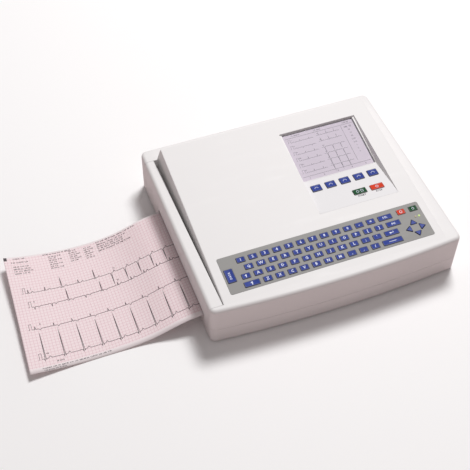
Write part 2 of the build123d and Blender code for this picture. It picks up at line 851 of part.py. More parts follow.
def battery_cover():
    """The door under the battery, with a finger notch."""
    x_pair, y_pair = cover_span()
    x_pair = (x_pair[0] + drawer_gap, x_pair[1] - drawer_gap)
    y_pair = (y_pair[0] + drawer_gap, y_pair[1] - drawer_gap)
    door = block(x_pair, y_pair, (foot_height, floor_top))
    middle = (x_pair[0] + x_pair[1]) / 2
    return door - block((middle - 12.0, middle + 12.0), (y_pair[0] - 1.0, y_pair[0] + 6.0), (0, foot_height + 1.2))


def power_board():
    """Mains power supply board in front of the battery."""
    x_pair, y_pair = (-40.0, 110.0), (chassis_back + 8.0, battery_place()[1] - 16.0)
    board = block(x_pair, y_pair, (floor_top + 5.0, floor_top + 5.0 + board_thickness))
    for x in (x_pair[0] + 5.0, x_pair[1] - 5.0):
        board += post(2.5, x, (y_pair[0] + y_pair[1]) / 2, (floor_top, floor_top + 5.0))
    deck = floor_top + 5.0 + board_thickness
    middle = (y_pair[0] + y_pair[1]) / 2
    for x in (-20.0, 5.0):
        board += post(6.0, x, middle, (deck, deck + 20.0))
    return board + block((40.0, 90.0), (middle - 2.0, middle + 2.0), (deck, deck + 22.0))


def transformer():
    """Laminated core with its winding, on the floor behind the gears."""
    x = left + 84.0
    y = chassis_back + 14.0
    wide, deep, high = transformer_size
    core = block((x, x + wide), (y, y + deep), (floor_top, floor_top + high))
    winding = block((x + 8.0, x + wide - 8.0), (y - 6.0, y + deep + 6.0), (floor_top + 7.0, floor_top + high - 7.0))
    return core + fillet(winding.edges().filter_by(Axis.Y), 4.0)


def mains_inlet():
    """A chassis inlet for a mains lead, with its flange on the back wall and three blades in its well."""
    low, high = inlet_levels()
    half = inlet_size[0] / 2 - 0.2
    deep = back - wall - inlet_size[2]
    case = block((inlet_place - half, inlet_place + half), (deep, back + 2.0), (low + 0.2, high - 0.2))
    flange = block((inlet_place - half - 3.0, inlet_place + half + 3.0), (back, back + 2.0), (low - 2.0, high + 2.0))
    case += fillet(flange.edges().filter_by(Axis.Y), 2.0)
    well = block((inlet_place - half + 2.0, inlet_place + half - 2.0), (back - 16.0, back + 3.0), (low + 2.2, high - 2.2))
    case -= well
    middle = (low + high) / 2
    for x, z in ((-7.0, -1.5), (0.0, 2.5), (7.0, -1.5)):
        pin_x = (inlet_place + x - 1.0, inlet_place + x + 1.0)
        case += block(pin_x, (back - 17.0, back - 4.0), (middle + z - 2.0, middle + z + 2.0))
    return case


def d_socket(y, width):
    """A D-shaped socket through the right wall, with a well for its plug."""
    flange = block((right, right + 1.2), (y - width / 2, y + width / 2), (socket_height - 6.3, socket_height + 6.3))
    half = width / 2 - 4.2
    high = 4.8
    body = block((right - 11.0, right + 1.2), (y - half, y + half), (socket_height - high, socket_height + high))
    inner = half - 1.2
    deep = high - 1.0
    points = [(y - inner, socket_height + deep), (y + inner, socket_height + deep),
              (y + inner - 1.6, socket_height - deep), (y - inner + 1.6, socket_height - deep)]
    return fillet(flange.edges().filter_by(Axis.X), 1.5) + body - side_prism(points, (right - 7.0, right + 3.0))


def patient_socket():
    return d_socket(*socket_places()[0])


def serial_sockets():
    return group([d_socket(y, width) for y, width in socket_places()[1:]])


def earth_stud():
    """The equipotential pin with its collar and nut."""
    low, high = inlet_levels()
    z = (low + high) / 2
    stud = rod(stud_radius, stud_place, (back - 12.0, back + stud_length + 2.0), z)
    stud += rod(5.0, stud_place, (back, back + 2.0), z)
    return stud + rod(5.0, stud_place, (back - wall - 3.0, back - wall), z)


def rubber_feet():
    feet = []
    for x, y in foot_places():
        foot = post(foot_radius - 0.1, x, y, (0, foot_height + foot_sink))
        feet.append(fillet(foot.faces().sort_by(Axis.Z)[0].edges(), 1.0))
    return group(feet)


def case_screws():
    screws = []
    for x, y in boss_places():
        head = post(2 * screw_radius, x, y, (foot_height + 0.8, screw_head_top))
        head -= post(0.9, x, y, (0, foot_height + 1.8))
        screws.append(head + post(screw_radius - 0.05, x, y, (screw_head_top, split_height + 10.0)))
    return group(screws)


casing_outer = casing_solid()
casing_inner = casing_hollow()
nodes = {
    "bottom_housing": bottom_housing(),
    "top_housing": top_housing(),
    "drawer_front": drawer_front(),
    "paper_tray": paper_tray(),
    "drawer_rails": drawer_rails(),
    "paper_stack": paper_stack(),
    "paper_sheet": paper_sheet(),
    "platen_roller": platen_roller(),
    "platen_shaft": platen_shaft(),
    "platen_bearings": platen_bearings(),
    "platen_gear": gear(platen_teeth, idler_direction, platen_x, platen_axis_height, shaft_radius),
    "idler_gear": gear(idler_teeth, idler_phase(), *idler_place(), shaft_radius - 0.5 + running_clearance),
    "motor_pinion": gear(pinion_teeth, pinion_phase(), *pinion_place(), shaft_radius / 2 + running_clearance),
    "stepper_motor": stepper_motor(),
    "print_head": print_head(),
    "head_bracket": head_bracket(),
    "head_pivot_rod": head_pivot_rod(),
    "head_springs": head_springs(),
    "printer_chassis": printer_chassis(),
    "keyboard_overlay": keyboard_overlay(),
    "key_mat": key_mat(),
    "keyboard_board": keyboard_board(),
    "softkey_panel": softkey_panel(),
    "softkey_board": softkey_board(),
    "display_window": display_window(),
    "display_module": display_module(),
    "main_board": main_board(),
    "power_board": power_board(),
    "transformer": transformer(),
    "battery_pack": battery_pack(),
    "battery_cover": battery_cover(),
    "mains_inlet": mains_inlet(),
    "patient_socket": patient_socket(),
    "serial_sockets": serial_sockets(),
    "earth_stud": earth_stud(),
    "rubber_feet": rubber_feet(),
    "case_screws": case_screws(),
}
for row in small_rows:
    nodes[f"letter_keys_row_{row}"] = slope * group(row_keys(row))
for name, cap in single_keys().items():
    nodes[name] = slope * cap
for name, cap in panel_keys().items():
    nodes[name] = panel_face * cap

for name, shape in nodes.items():
    export_step(shape, f"parts/{name}.step")
print(len(nodes), "nodes written")
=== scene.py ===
# %% [markdown]
# # A desktop heart recorder
# A heart recorder draws the voltages of a beating heart on ruled paper. This one has a moulded casing, a
# keyboard, a sunken screen with soft keys, and a drawer in its left side that holds the paper and prints.
# The engineering model already has every piece at its true place. This lesson loads it as a fixed frame,
# gives each piece its finish, and remakes the pieces that need finer detail than a working model has.

# %% Load the frame
import json
from math import cos, exp, pi, radians, sin

import bmesh
import bpy
from mathutils import Matrix, Vector


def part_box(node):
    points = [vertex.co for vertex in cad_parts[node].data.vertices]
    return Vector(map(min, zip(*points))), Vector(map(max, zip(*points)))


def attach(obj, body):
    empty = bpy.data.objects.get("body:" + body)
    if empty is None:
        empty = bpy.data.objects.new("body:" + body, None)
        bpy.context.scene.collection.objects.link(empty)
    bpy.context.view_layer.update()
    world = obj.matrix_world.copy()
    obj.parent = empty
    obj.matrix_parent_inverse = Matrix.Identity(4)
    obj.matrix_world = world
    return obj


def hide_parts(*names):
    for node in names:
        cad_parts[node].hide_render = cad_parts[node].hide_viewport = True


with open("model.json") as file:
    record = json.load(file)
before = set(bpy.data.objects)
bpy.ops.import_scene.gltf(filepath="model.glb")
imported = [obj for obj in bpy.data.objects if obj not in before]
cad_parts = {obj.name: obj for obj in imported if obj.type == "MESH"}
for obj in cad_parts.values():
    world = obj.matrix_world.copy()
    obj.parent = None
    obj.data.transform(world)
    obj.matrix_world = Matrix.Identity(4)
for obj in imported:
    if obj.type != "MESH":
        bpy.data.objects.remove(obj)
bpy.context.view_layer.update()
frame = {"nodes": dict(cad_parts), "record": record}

nodes = frame["nodes"]
MM = 0.001

# %% [markdown]
# ## The camera, the light and the table
# The machine is seen from above the operator's left shoulder through a longish lens, on a white table. A
# large lamp high behind it makes the top bright and leaves the front in soft shade. The white surroundings
# fill the shade, so nothing goes black.

# %% Camera
camera_data = bpy.data.cameras.new("camera")
camera_data.lens = 75.57
camera_data.sensor_width = 36.0
camera = bpy.data.objects.new("camera", camera_data)
camera.location = (-0.4582, -0.9160, 1.2169)
camera.rotation_euler = (radians(39.31), radians(-0.54), radians(-20.72))
bpy.context.scene.collection.objects.link(camera)
bpy.context.scene.camera = camera
print("camera", camera_data.lens, "mm")


# %% Lamps and surroundings
def softbox(name, place, target, size, power, tint):
    """A square lamp that faces a point."""
    data = bpy.data.lights.new(name, "AREA")
    data.size = size
    data.energy = power
    data.color = tint
    lamp = bpy.data.objects.new(name, data)
    lamp.location = place
    lamp.rotation_euler = (Vector(target) - Vector(place)).to_track_quat("-Z", "Y").to_euler()
    bpy.context.scene.collection.objects.link(lamp)


machine_middle = (0.0, 0.0, 0.05)
softbox("overhead_lamp", (1.08, 1.20, 3.22), machine_middle, 1.0, 108.0, (1.0, 0.995, 0.995))
softbox("front_fill", (-0.9, -1.5, 0.9), machine_middle, 1.4, 2.0, (1.0, 0.90, 0.89))
world = bpy.data.worlds.new("surroundings")
world.use_nodes = True
world.node_tree.nodes["Background"].inputs["Color"].default_value = (1.0, 0.94, 0.935, 1.0)
world.node_tree.nodes["Background"].inputs["Strength"].default_value = 0.26
bpy.context.scene.world = world
bpy.context.scene.view_settings.view_transform = "Standard"
print("lamps", [item.name for item in bpy.data.lights])


# %% Table
def plain_object(name, bm, materials):
    """A mesh object made from a bmesh, with smooth faces that break at sharp edges."""
    bmesh.ops.recalc_face_normals(bm, faces=bm.faces)
    mesh = bpy.data.meshes.new(name)
    bm.to_mesh(mesh)
    bm.free()
    for item in materials:
        mesh.materials.append(item)
    mesh.shade_smooth()
    mesh.set_sharp_from_angle(angle=radians(35))
    thing = bpy.data.objects.new(name, mesh)
    bpy.context.scene.collection.objects.link(thing)
    return thing


# The camera sees a white table, but the light that bounces off it is dimmer and warmer.
table_material = bpy.data.materials.new("table_white")
table_material.use_nodes = True
table_shader = table_material.node_tree.nodes["Principled BSDF"]
table_shader.inputs["Roughness"].default_value = 0.9
table_nodes = table_material.node_tree
seen = table_nodes.nodes.new("ShaderNodeLightPath")
table_colour = table_nodes.nodes.new("ShaderNodeMix")
table_colour.data_type = "RGBA"
table_colour.inputs[6].default_value = (0.76, 0.63, 0.63, 1.0)
table_colour.inputs[7].default_value = (0.96, 0.955, 0.955, 1.0)
table_nodes.links.new(seen.outputs["Is Camera Ray"], table_colour.inputs[0])
table_nodes.links.new(table_colour.outputs[2], table_shader.inputs["Base Color"])
table_shape = bmesh.new()
bmesh.ops.create_grid(table_shape, x_segments=1, y_segments=1, size=6.0)
table = plain_object("table", table_shape, [table_material])

# %% [markdown]
# ## Shared surface effects
# Several finishes need the same few things: the fine grain that a mould leaves on plastic, the drawn
# lines of worked metal, and the ruling of chart paper. Each is a node group with named inputs, placed in
# each material with its own numbers. A group only puts out masks and heights. The shader stays outside.


# %% Node group helpers
class Group:
    """A shader node group under construction."""

    def __init__(self, name, inputs, outputs):
        self.tree = bpy.data.node_groups.new(name, "ShaderNodeTree")
        for label, kind, value in inputs:
            socket = self.tree.interface.new_socket(label, in_out="INPUT", socket_type=kind)
            if kind == "NodeSocketFloat":
                socket.default_value = value
        for label, kind in outputs:
            self.tree.interface.new_socket(label, in_out="OUTPUT", socket_type=kind)
        self.source = self.tree.nodes.new("NodeGroupInput")
        self.sink = self.tree.nodes.new("NodeGroupOutput")

    def give(self, **outputs):
        for label, value in outputs.items():
            self.tree.links.new(value, self.sink.inputs[label])


def wire(tree, start, end):
    tree.links.new(start, end)


def add(tree, kind, **settings):
    """A node with its properties set by name."""
    node = tree.nodes.new(kind)
    for name, value in settings.items():
        setattr(node, name, value)
    return node


def math(tree, operation, first, second=None, clamp=False):
    """A math node. Each value is a number or another node's socket."""
    node = add(tree, "ShaderNodeMath", operation=operation, use_clamp=clamp)
    for index, value in enumerate((first, second)):
        if value is None:
            continue
        if isinstance(value, (int, float)):
            node.inputs[index].default_value = value
        else:
            wire(tree, value, node.inputs[index])
    return node.outputs[0]


def noise(tree, vector, scale, detail=2.0, roughness=0.5):
    node = add(tree, "ShaderNodeTexNoise")
    wire(tree, vector, node.inputs["Vector"])
    if isinstance(scale, (int, float)):
        node.inputs["Scale"].default_value = scale
    else:
        wire(tree, scale, node.inputs["Scale"])
    node.inputs["Detail"].default_value = detail
    node.inputs["Roughness"].default_value = roughness
    return node.outputs["Fac"]


def object_coordinates(tree):
    return add(tree, "ShaderNodeTexCoord").outputs["Object"]


# %% Moulded grain
def make_moulded_grain():
    """Spark-eroded grain, broad cloudy tone, and faint rubbing marks where hands slide."""
    group = Group(
        "moulded_grain",
        [("Grain", "NodeSocketFloat", 1500.0), ("Clouds", "NodeSocketFloat", 9.0)],
        [("Height", "NodeSocketFloat"), ("Tone", "NodeSocketFloat"), ("Rub", "NodeSocketFloat")],
    )
    tree = group.tree
    place = object_coordinates(tree)
    grain = noise(tree, place, group.source.outputs["Grain"], 3.0, 0.6)
    clouds = noise(tree, place, group.source.outputs["Clouds"], 2.0)
    stretch = add(tree, "ShaderNodeMapping")
    wire(tree, place, stretch.inputs["Vector"])
    stretch.inputs["Scale"].default_value = (14.0, 90.0, 90.0)
    stretch.inputs["Rotation"].default_value = (0.0, 0.0, radians(24))
    marks = noise(tree, stretch.outputs["Vector"], 1.0, 5.0, 0.65)
    rub = math(tree, "MULTIPLY", math(tree, "SUBTRACT", marks, 0.55), 4.0, clamp=True)
    group.give(Height=grain, Tone=clouds, Rub=rub)
    return tree


moulded_grain = make_moulded_grain()


# %% Drawn metal
def make_drawn_metal():
    """Fine parallel lines along X, as rolling and brushing leave, with a few deeper ones."""
    group = Group(
        "drawn_metal",
        [("Lines", "NodeSocketFloat", 3000.0)],
        [("Height", "NodeSocketFloat"), ("Sheen", "NodeSocketFloat"), ("Tarnish", "NodeSocketFloat")],
    )
    tree = group.tree
    place = object_coordinates(tree)
    stretch = add(tree, "ShaderNodeMapping")
    wire(tree, place, stretch.inputs["Vector"])
    stretch.inputs["Scale"].default_value = (0.02, 1.0, 1.0)
    lines = noise(tree, stretch.outputs["Vector"], group.source.outputs["Lines"], 4.0, 0.7)
    broad = noise(tree, stretch.outputs["Vector"], 260.0, 3.0)
    tarnish = noise(tree, place, 45.0, 4.0, 0.6)
    group.give(Height=lines, Sheen=broad, Tarnish=tarnish)
    return tree


drawn_metal = make_drawn_metal()


# %% Chart ruling
def ruled_lines(tree, value, pitch, width):
    """1 on lines of a width across a value, at a pitch, and 0 between them, with soft sides."""
    cell = math(tree, "FRACT", math(tree, "DIVIDE", value, pitch))
    near = math(tree, "MULTIPLY", math(tree, "PINGPONG", cell, 0.5), pitch)
    return math(tree, "SUBTRACT", 1.0, math(tree, "DIVIDE", near, width, clamp=True), clamp=True)


def make_chart_ruling():
    """Millimetre ruling with a stronger line every five. Place is in millimetres."""
    group = Group(
        "chart_ruling",
        [("Place", "NodeSocketVector", None)],
        [("Fine", "NodeSocketFloat"), ("Strong", "NodeSocketFloat"), ("Fibre", "NodeSocketFloat")],
    )
    tree = group.tree
    split = add(tree, "ShaderNodeSeparateXYZ")
    wire(tree, group.source.outputs["Place"], split.inputs["Vector"])
    along, across = split.outputs["X"], split.outputs["Y"]
    fine, strong = [
        math(tree, "MAXIMUM", *(ruled_lines(tree, value, pitch, width) for value in (along, across)))
        for pitch, width in ((1.0, 0.14), (5.0, 0.42))
    ]
    fibre = noise(tree, group.source.outputs["Place"], 3.0, 5.0, 0.65)
    group.give(Fine=fine, Strong=strong, Fibre=fibre)
    return tree


chart_ruling = make_chart_ruling()
print("node groups", [group.name for group in bpy.data.node_groups])

# %% [markdown]
# ## Finishes
# Each finish is one material. The plastics share one recipe: a base colour that drifts a little, a soft
# sheen that varies where hands rub, and a bump from the mould's grain. Real moulded plastic never shows
# one flat tone, and the small changes are what the eye reads as a solid surface.


# %% Material helpers
def colour_mix(tree, factor, low, high):
    """A blend between two colours by a mask."""
    node = add(tree, "ShaderNodeMix", data_type="RGBA")
    wire(tree, factor, node.inputs[0])
    for socket, value in ((node.inputs[6], low), (node.inputs[7], high)):
        if isinstance(value, tuple):
            socket.default_value = (*value, 1.0)
        else:
            wire(tree, value, socket)
    return node.outputs[2]


def ranged(tree, value, low, high):
    """A 0 to 1 value spread over a range."""
    node = add(tree, "ShaderNodeMapRange")
    wire(tree, value, node.inputs["Value"])
    node.inputs["To Min"].default_value = low
    node.inputs["To Max"].default_value = high
    return node.outputs["Result"]


def bump(tree, height, strength, distance, shader):
    node = add(tree, "ShaderNodeBump")
    node.inputs["Strength"].default_value = strength
    node.inputs["Distance"].default_value = distance
    wire(tree, height, node.inputs["Height"])
    wire(tree, node.outputs["Normal"], shader.inputs["Normal"])


def new_material(name):
    item = bpy.data.materials.new(name)
    item.use_nodes = True
    return item, item.node_tree, item.node_tree.nodes["Principled BSDF"]


def placed_group(tree, group, **values):
    node = add(tree, "ShaderNodeGroup", node_tree=group)
    for name, value in values.items():
        node.inputs[name].default_value = value
    return node.outputs


def shade(colour, factor):
    return tuple(min(1.0, channel * factor) for channel in colour)


def plastic(name, colour, rough=0.42, grain=1500.0, depth=0.05, drift=0.05, shine=0.5):
    """Moulded or painted plastic, rubber or ink. depth is the grain's, in millimetres."""
    item, tree, shader = new_material(name)
    shader.inputs["Specular IOR Level"].default_value = shine
    effect = placed_group(tree, moulded_grain, Grain=grain)
    tone = colour_mix(tree, effect["Tone"], shade(colour, 1.0 - drift), shade(colour, 1.0 + drift))
    rubbed = colour_mix(tree, math(tree, "MULTIPLY", effect["Rub"], drift), tone, shade(colour, 0.7))
    wire(tree, rubbed, shader.inputs["Base Color"])
    spread = math(tree, "ADD", math(tree, "MULTIPLY", effect["Tone"], 0.10), rough - 0.05)
    polish = math(tree, "MULTIPLY", effect["Rub"], 0.10)
    wire(tree, math(tree, "SUBTRACT", spread, polish), shader.inputs["Roughness"])
    bump(tree, effect["Height"], 0.6, depth * MM, shader)
    return item


def metal(name, colour, rough=0.30, lines=3000.0, depth=0.01, tarnish=0.25):
    """Bright, plated or turned metal."""
    item, tree, shader = new_material(name)
    effect = placed_group(tree, drawn_metal, Lines=lines)
    spot = math(tree, "MULTIPLY", effect["Tarnish"], tarnish)
    wire(tree, colour_mix(tree, spot, colour, shade(colour, 0.45)), shader.inputs["Base Color"])
    wire(tree, ranged(tree, effect["Sheen"], rough - 0.08, rough + 0.14), shader.inputs["Roughness"])
    shader.inputs["Metallic"].default_value = 1.0
    bump(tree, effect["Height"], 0.5, depth * MM, shader)
    return item


# %% Plastics and rubbers
finish = {
    "casing": plastic("casing_plastic", (0.800, 0.785, 0.782), 0.52, 1300.0, 0.05, 0.02, 0.3),
    "tray_plastic": plastic("tray_plastic", (0.50, 0.49, 0.48), 0.45),
    "platen_rubber": plastic("platen_rubber", (0.035, 0.035, 0.038), 0.62, 4000.0, 0.02, 0.2),
    "gear_plastic": plastic("gear_acetal", (0.80, 0.79, 0.74), 0.35, 2500.0, 0.01),
    "head_black": plastic("head_glaze", (0.02, 0.02, 0.022), 0.18, 800.0, 0.004, 0.2),
    "overlay": plastic("overlay_print", (0.295, 0.290, 0.280), 0.55, 3500.0, 0.02, 0.03, 0.25),
    "panel": plastic("panel_print", (0.765, 0.755, 0.765), 0.52, 3500.0, 0.02, 0.02, 0.3),
    "key_blue": plastic("key_blue", (0.036, 0.062, 0.30), 0.44, 3000.0, 0.015, 0.10, 0.15),
    "key_green": plastic("key_green", (0.006, 0.075, 0.022), 0.44, 3000.0, 0.015, 0.10, 0.15),
    "key_red": plastic("key_red", (0.66, 0.050, 0.016), 0.44, 3000.0, 0.015, 0.06, 0.15),
    "key_mat_rubber": plastic("key_mat_silicone", (0.40, 0.40, 0.39), 0.6),
    "battery": plastic("battery_wrap", (0.05, 0.06, 0.09), 0.3, 400.0, 0.03, 0.15),
    "socket_black": plastic("socket_black", (0.018, 0.018, 0.020), 0.38, 2200.0, 0.03, 0.2),
    "foot_rubber": plastic("foot_rubber", (0.045, 0.045, 0.048), 0.75, 2600.0, 0.04, 0.2),
    "motor_can": plastic("motor_lacquer", (0.03, 0.03, 0.033), 0.28, 900.0, 0.01, 0.2),
    "steel": metal("bright_steel", (0.62, 0.62, 0.63), 0.26),
    "sheet_metal": metal("zinc_plated_sheet", (0.58, 0.60, 0.62), 0.36, 2200.0, 0.015, 0.35),
    "bronze": metal("bearing_bronze", (0.55, 0.34, 0.16), 0.40, 1800.0, 0.02, 0.4),
    "socket_shell": metal("tin_plate", (0.72, 0.72, 0.72), 0.24, 3500.0, 0.006, 0.2),
    "transformer": metal("iron_laminations", (0.20, 0.17, 0.15), 0.55, 1600.0, 0.05, 0.5),
}
# Darker copies of the key plastics for the caps' sides and rims: painted shade, for the shadow in the gap
# round each key.
key_painted_shade = {
    "key_blue": plastic("key_blue_painted_shade", (0.010, 0.014, 0.075), 0.42, 3000.0, 0.015, 0.10),
    "key_green": plastic("key_green_painted_shade", (0.003, 0.028, 0.010), 0.42, 3000.0, 0.015, 0.10),
    "key_red": plastic("key_red_painted_shade", (0.33, 0.020, 0.008), 0.42, 3000.0, 0.015, 0.06),
}
legend_ink = plastic("legend_ink", (0.72, 0.76, 0.90), 0.5, 3000.0, 0.004, 0.04)
caption_ink = plastic("caption_ink", (0.03, 0.03, 0.035), 0.5, 3000.0, 0.004, 0.1)
trace_ink = plastic("trace_ink", (0.040, 0.026, 0.034), 0.6, 3000.0, 0.002, 0.3)
# The screen picture's dark ink, also used for the painted shadow bars along the screen's top and right
# edges.
screen_ink_and_shade = plastic("screen_ink_and_shade", (0.050, 0.042, 0.070), 0.6, 3000.0, 0.002, 0.1)
print(len(finish), "finishes so far")


# %% [markdown]
# Circuit boards are woven glass in resin under a green mask. Copper tracks under the mask show as
# lighter, slightly raised lines, so they come from a brick pattern of long thin cells. The weave is noise.

# %% Circuit board
def circuit_board():
    item, tree, shader = new_material("board_mask")
    place = object_coordinates(tree)
    tracks = add(tree, "ShaderNodeTexBrick", offset=0.37, offset_frequency=3)
    wire(tree, place, tracks.inputs["Vector"])
    sizes = {
        "Scale": 60.0, "Mortar Size": 0.035, "Mortar Smooth": 0.1, "Brick Width": 1.6, "Row Height": 0.16,
    }
    for label, value in sizes.items():
        tracks.inputs[label].default_value = value
    weave = noise(tree, place, 1400.0, 2.0)
    mask = colour_mix(tree, weave, (0.010, 0.085, 0.035), (0.016, 0.12, 0.05))
    copper = colour_mix(tree, tracks.outputs["Fac"], mask, (0.05, 0.22, 0.09))
    wire(tree, copper, shader.inputs["Base Color"])
    wire(tree, ranged(tree, weave, 0.22, 0.36), shader.inputs["Roughness"])
    bump(tree, tracks.outputs["Fac"], 0.5, 0.04 * MM, shader)
    return item


finish["board"] = circuit_board()

# %% [markdown]
# The screen's pane is clear moulded plastic. A principled shader with full transmission bends light like
# the real pane. A low alpha lets most light straight through, so the film beneath keeps its brightness.

# %% Clear pane
def clear_pane():
    item, tree, shader = new_material("clear_pane")
    shader.inputs["Base Color"].default_value = (0.97, 0.97, 0.98, 1.0)
    shader.inputs["Transmission Weight"].default_value = 1.0
    shader.inputs["Alpha"].default_value = 0.06
    shader.inputs["IOR"].default_value = 1.49
    effect = placed_group(tree, moulded_grain, Grain=5200.0)
    wire(tree, ranged(tree, effect["Tone"], 0.12, 0.20), shader.inputs["Roughness"])
    shader.inputs["Specular IOR Level"].default_value = 0.2
    return item


finish["window"] = clear_pane()


# %% Liquid-crystal screen
def liquid_crystal():
    """Pale violet film whose picture cells show as a very fine grid."""
    item, tree, shader = new_material("liquid_crystal")
    place = object_coordinates(tree)
    split = add(tree, "ShaderNodeSeparateXYZ")
    wire(tree, place, split.inputs["Vector"])
    cell = 0.36 * MM
    rows = ruled_lines(tree, split.outputs["Y"], cell, 0.06 * MM)
    columns = ruled_lines(tree, split.outputs["X"], cell, 0.06 * MM)
    cells = math(tree, "MAXIMUM", rows, columns)
    drift = colour_mix(tree, noise(tree, place, 14.0, 2.0), (0.53, 0.47, 0.55), (0.585, 0.52, 0.60))
    grid = colour_mix(tree, math(tree, "MULTIPLY", cells, 0.25), drift, (0.45, 0.40, 0.50))
    wire(tree, grid, shader.inputs["Base Color"])
    wire(tree, ranged(tree, noise(tree, place, 900.0, 2.0), 0.50, 0.62), shader.inputs["Roughness"])
    shader.inputs["Specular IOR Level"].default_value = 0.15
    return item


finish["screen"] = liquid_crystal()

# %% [markdown]
# Chart paper is thin, matt and ruled in pink. The ruling follows the page, so it reads the page's own
# map, scaled to millimetres. The pack in the drawer lies flat, so there plain object coordinates do.

# %% Chart paper
PAGE_WIDTH = 210.0
PAGE_LENGTH = 300.0
FRONT_MARGIN = 8.0
BACK_MARGIN = 2.5


def chart_paper(name, mapped):
    """Ruled paper. With mapped, the ruling follows the piece's own map and stops short of its sides."""
    item, tree, shader = new_material(name)
    scale = add(tree, "ShaderNodeMapping")
    if mapped:
        source = add(tree, "ShaderNodeUVMap", uv_map="page").outputs["UV"]
        scale.inputs["Scale"].default_value = (PAGE_LENGTH, PAGE_WIDTH, 1.0)
    else:
        source = object_coordinates(tree)
        scale.inputs["Scale"].default_value = (1 / MM, 1 / MM, 1 / MM)
    wire(tree, source, scale.inputs["Vector"])
    ruling = add(tree, "ShaderNodeGroup", node_tree=chart_ruling)
    wire(tree, scale.outputs["Vector"], ruling.inputs["Place"])
    blank = colour_mix(tree, ruling.outputs["Fibre"], (0.88, 0.795, 0.805), (0.92, 0.84, 0.85))
    fine_mask = math(tree, "MULTIPLY", ruling.outputs["Fine"], 0.85)
    fine = colour_mix(tree, fine_mask, blank, (0.84, 0.50, 0.54))
    strong_mask = math(tree, "MULTIPLY", ruling.outputs["Strong"], 0.75)
    inked = colour_mix(tree, strong_mask, fine, (0.62, 0.31, 0.38))
    if mapped:
        split = add(tree, "ShaderNodeSeparateXYZ")
        wire(tree, scale.outputs["Vector"], split.inputs["Vector"])
        front = math(tree, "GREATER_THAN", split.outputs["Y"], FRONT_MARGIN)
        behind = math(tree, "LESS_THAN", split.outputs["Y"], PAGE_WIDTH - BACK_MARGIN)
        inked = colour_mix(tree, math(tree, "MULTIPLY", front, behind), blank, inked)
    wire(tree, inked, shader.inputs["Base Color"])
    wire(tree, ranged(tree, ruling.outputs["Fibre"], 0.62, 0.78), shader.inputs["Roughness"])
    bump(tree, ruling.outputs["Fibre"], 0.4, 0.03 * MM, shader)
    return item


finish["paper"] = chart_paper("chart_paper_pack", False)
page_paper = chart_paper("chart_paper_page", True)

# %% Dress the frame
slot_of = {row["node"]: row["material_slot"] for row in frame["record"]["subparts"]}
for name, node in nodes.items():
    node.data.materials.clear()
    node.data.materials.append(finish[slot_of[name]])
print("dressed", len(nodes), "pieces in", len(finish), "finishes")


# %% [markdown]
# ## Reading places from the frame
# The keyboard and the soft-key panel are tilted, and every key sits square to its own panel. So each
# panel gets a small frame of axes, found from its top face: X to the right, Y up the panel, Z out of it.
# A row of keys is one piece of many lumps, so the lumps are told apart by what is joined to what.

# %% Panel axes
def face_axes(name):
    """Axes on the top face of a frame piece: X level to the right, Z out of the face."""
    faces = [face for face in nodes[name].data.polygons if face.normal.z > 0.9]
    normal = sum((face.normal * face.area for face in faces), Vector()).normalized()
    height = max(face.center.dot(normal) for face in faces)
    top = [face for face in faces if face.center.dot(normal) > height - 0.05 * MM]
    area = sum(face.area for face in top)
    centre = sum((face.center * face.area for face in top), Vector()) / area
    across = Vector((1.0, 0.0, 0.0))
    up = normal.cross(across).normalized()
    axes = Matrix((across, up, normal)).transposed().to_4x4()
    axes.translation = centre
    return axes


def lumps(name, axes):
    """Box of each separate lump of a frame piece, in a panel's axes, from left to right."""
    bm = bmesh.new()
    bm.from_mesh(nodes[name].data)
    bmesh.ops.remove_doubles(bm, verts=bm.verts, dist=0.001 * MM)
    back = axes.inverted()
    waiting = set(bm.verts)
    found = []
    while waiting:
        group = [waiting.pop()]
        for vert in group:
            for edge in vert.link_edges:
                other = edge.other_vert(vert)
                if other in waiting:
                    waiting.remove(other)
                    group.append(other)
        points = [back @ vert.co for vert in group]
        low = Vector([min(point[axis] for point in points) for axis in range(3)])
        high = Vector([max(point[axis] for point in points) for axis in range(3)])
        found.append((low, high))
    bm.free()
    return sorted(found, key=lambda pair: pair[0].x)


keyboard_axes = face_axes("keyboard_overlay")
panel_axes = face_axes("softkey_panel")
window_axes = face_axes("display_window")
print("keyboard tilt", round(keyboard_axes.to_euler().x * 180 / pi, 2), "degrees")


# %% [markdown]
# ## Lettering
# Key legends are flat marks printed on the caps. Each is a text object with a hair of thickness, made a
# mesh before it is placed, so it is a real closed shape. Arrows are made from a triangle and a bar.

# %% Marks
INK = 0.02 * MM  # thickness of a printed mark


def mesh_of(curve):
    """A curve or text made into a mesh, and discarded."""
    thing = bpy.data.objects.new(curve.name, curve)
    bpy.context.scene.collection.objects.link(thing)
    bpy.context.view_layer.update()
    mesh = bpy.data.meshes.new_from_object(thing.evaluated_get(bpy.context.evaluated_depsgraph_get()))
    bpy.data.objects.remove(thing)
    bpy.data.curves.remove(curve)
    return mesh


def text_mesh(words, height, bold=0.02, side="CENTER"):
    """Words as a thin closed mesh round the XY plane. bold is a share of the height."""
    curve = bpy.data.curves.new("words", "FONT")
    curve.body = words
    curve.size = height
    curve.extrude = INK / 2
    curve.offset = height * bold
    curve.resolution_u = 1
    curve.align_x = side
    curve.align_y = "CENTER"
    return mesh_of(curve)


def stamp(bm, mesh, matrix, slot):
    """Adds a mesh to a bmesh, placed and with a material slot, and discards it."""
    start = len(bm.faces)
    mesh.transform(matrix)
    bm.from_mesh(mesh)
    bm.faces.ensure_lookup_table()
    for face in bm.faces[start:]:
        face.material_index = slot
    bpy.data.meshes.remove(mesh)


def bar(bm, matrix, size, slot=0):
    """A small block with its middle at the matrix's origin."""
    made = bmesh.ops.create_cube(bm, size=1.0, matrix=matrix @ Matrix.Diagonal((*size, 1.0)))
    for face in {face for vert in made["verts"] for face in vert.link_faces}:
        face.material_index = slot
    return made["verts"]


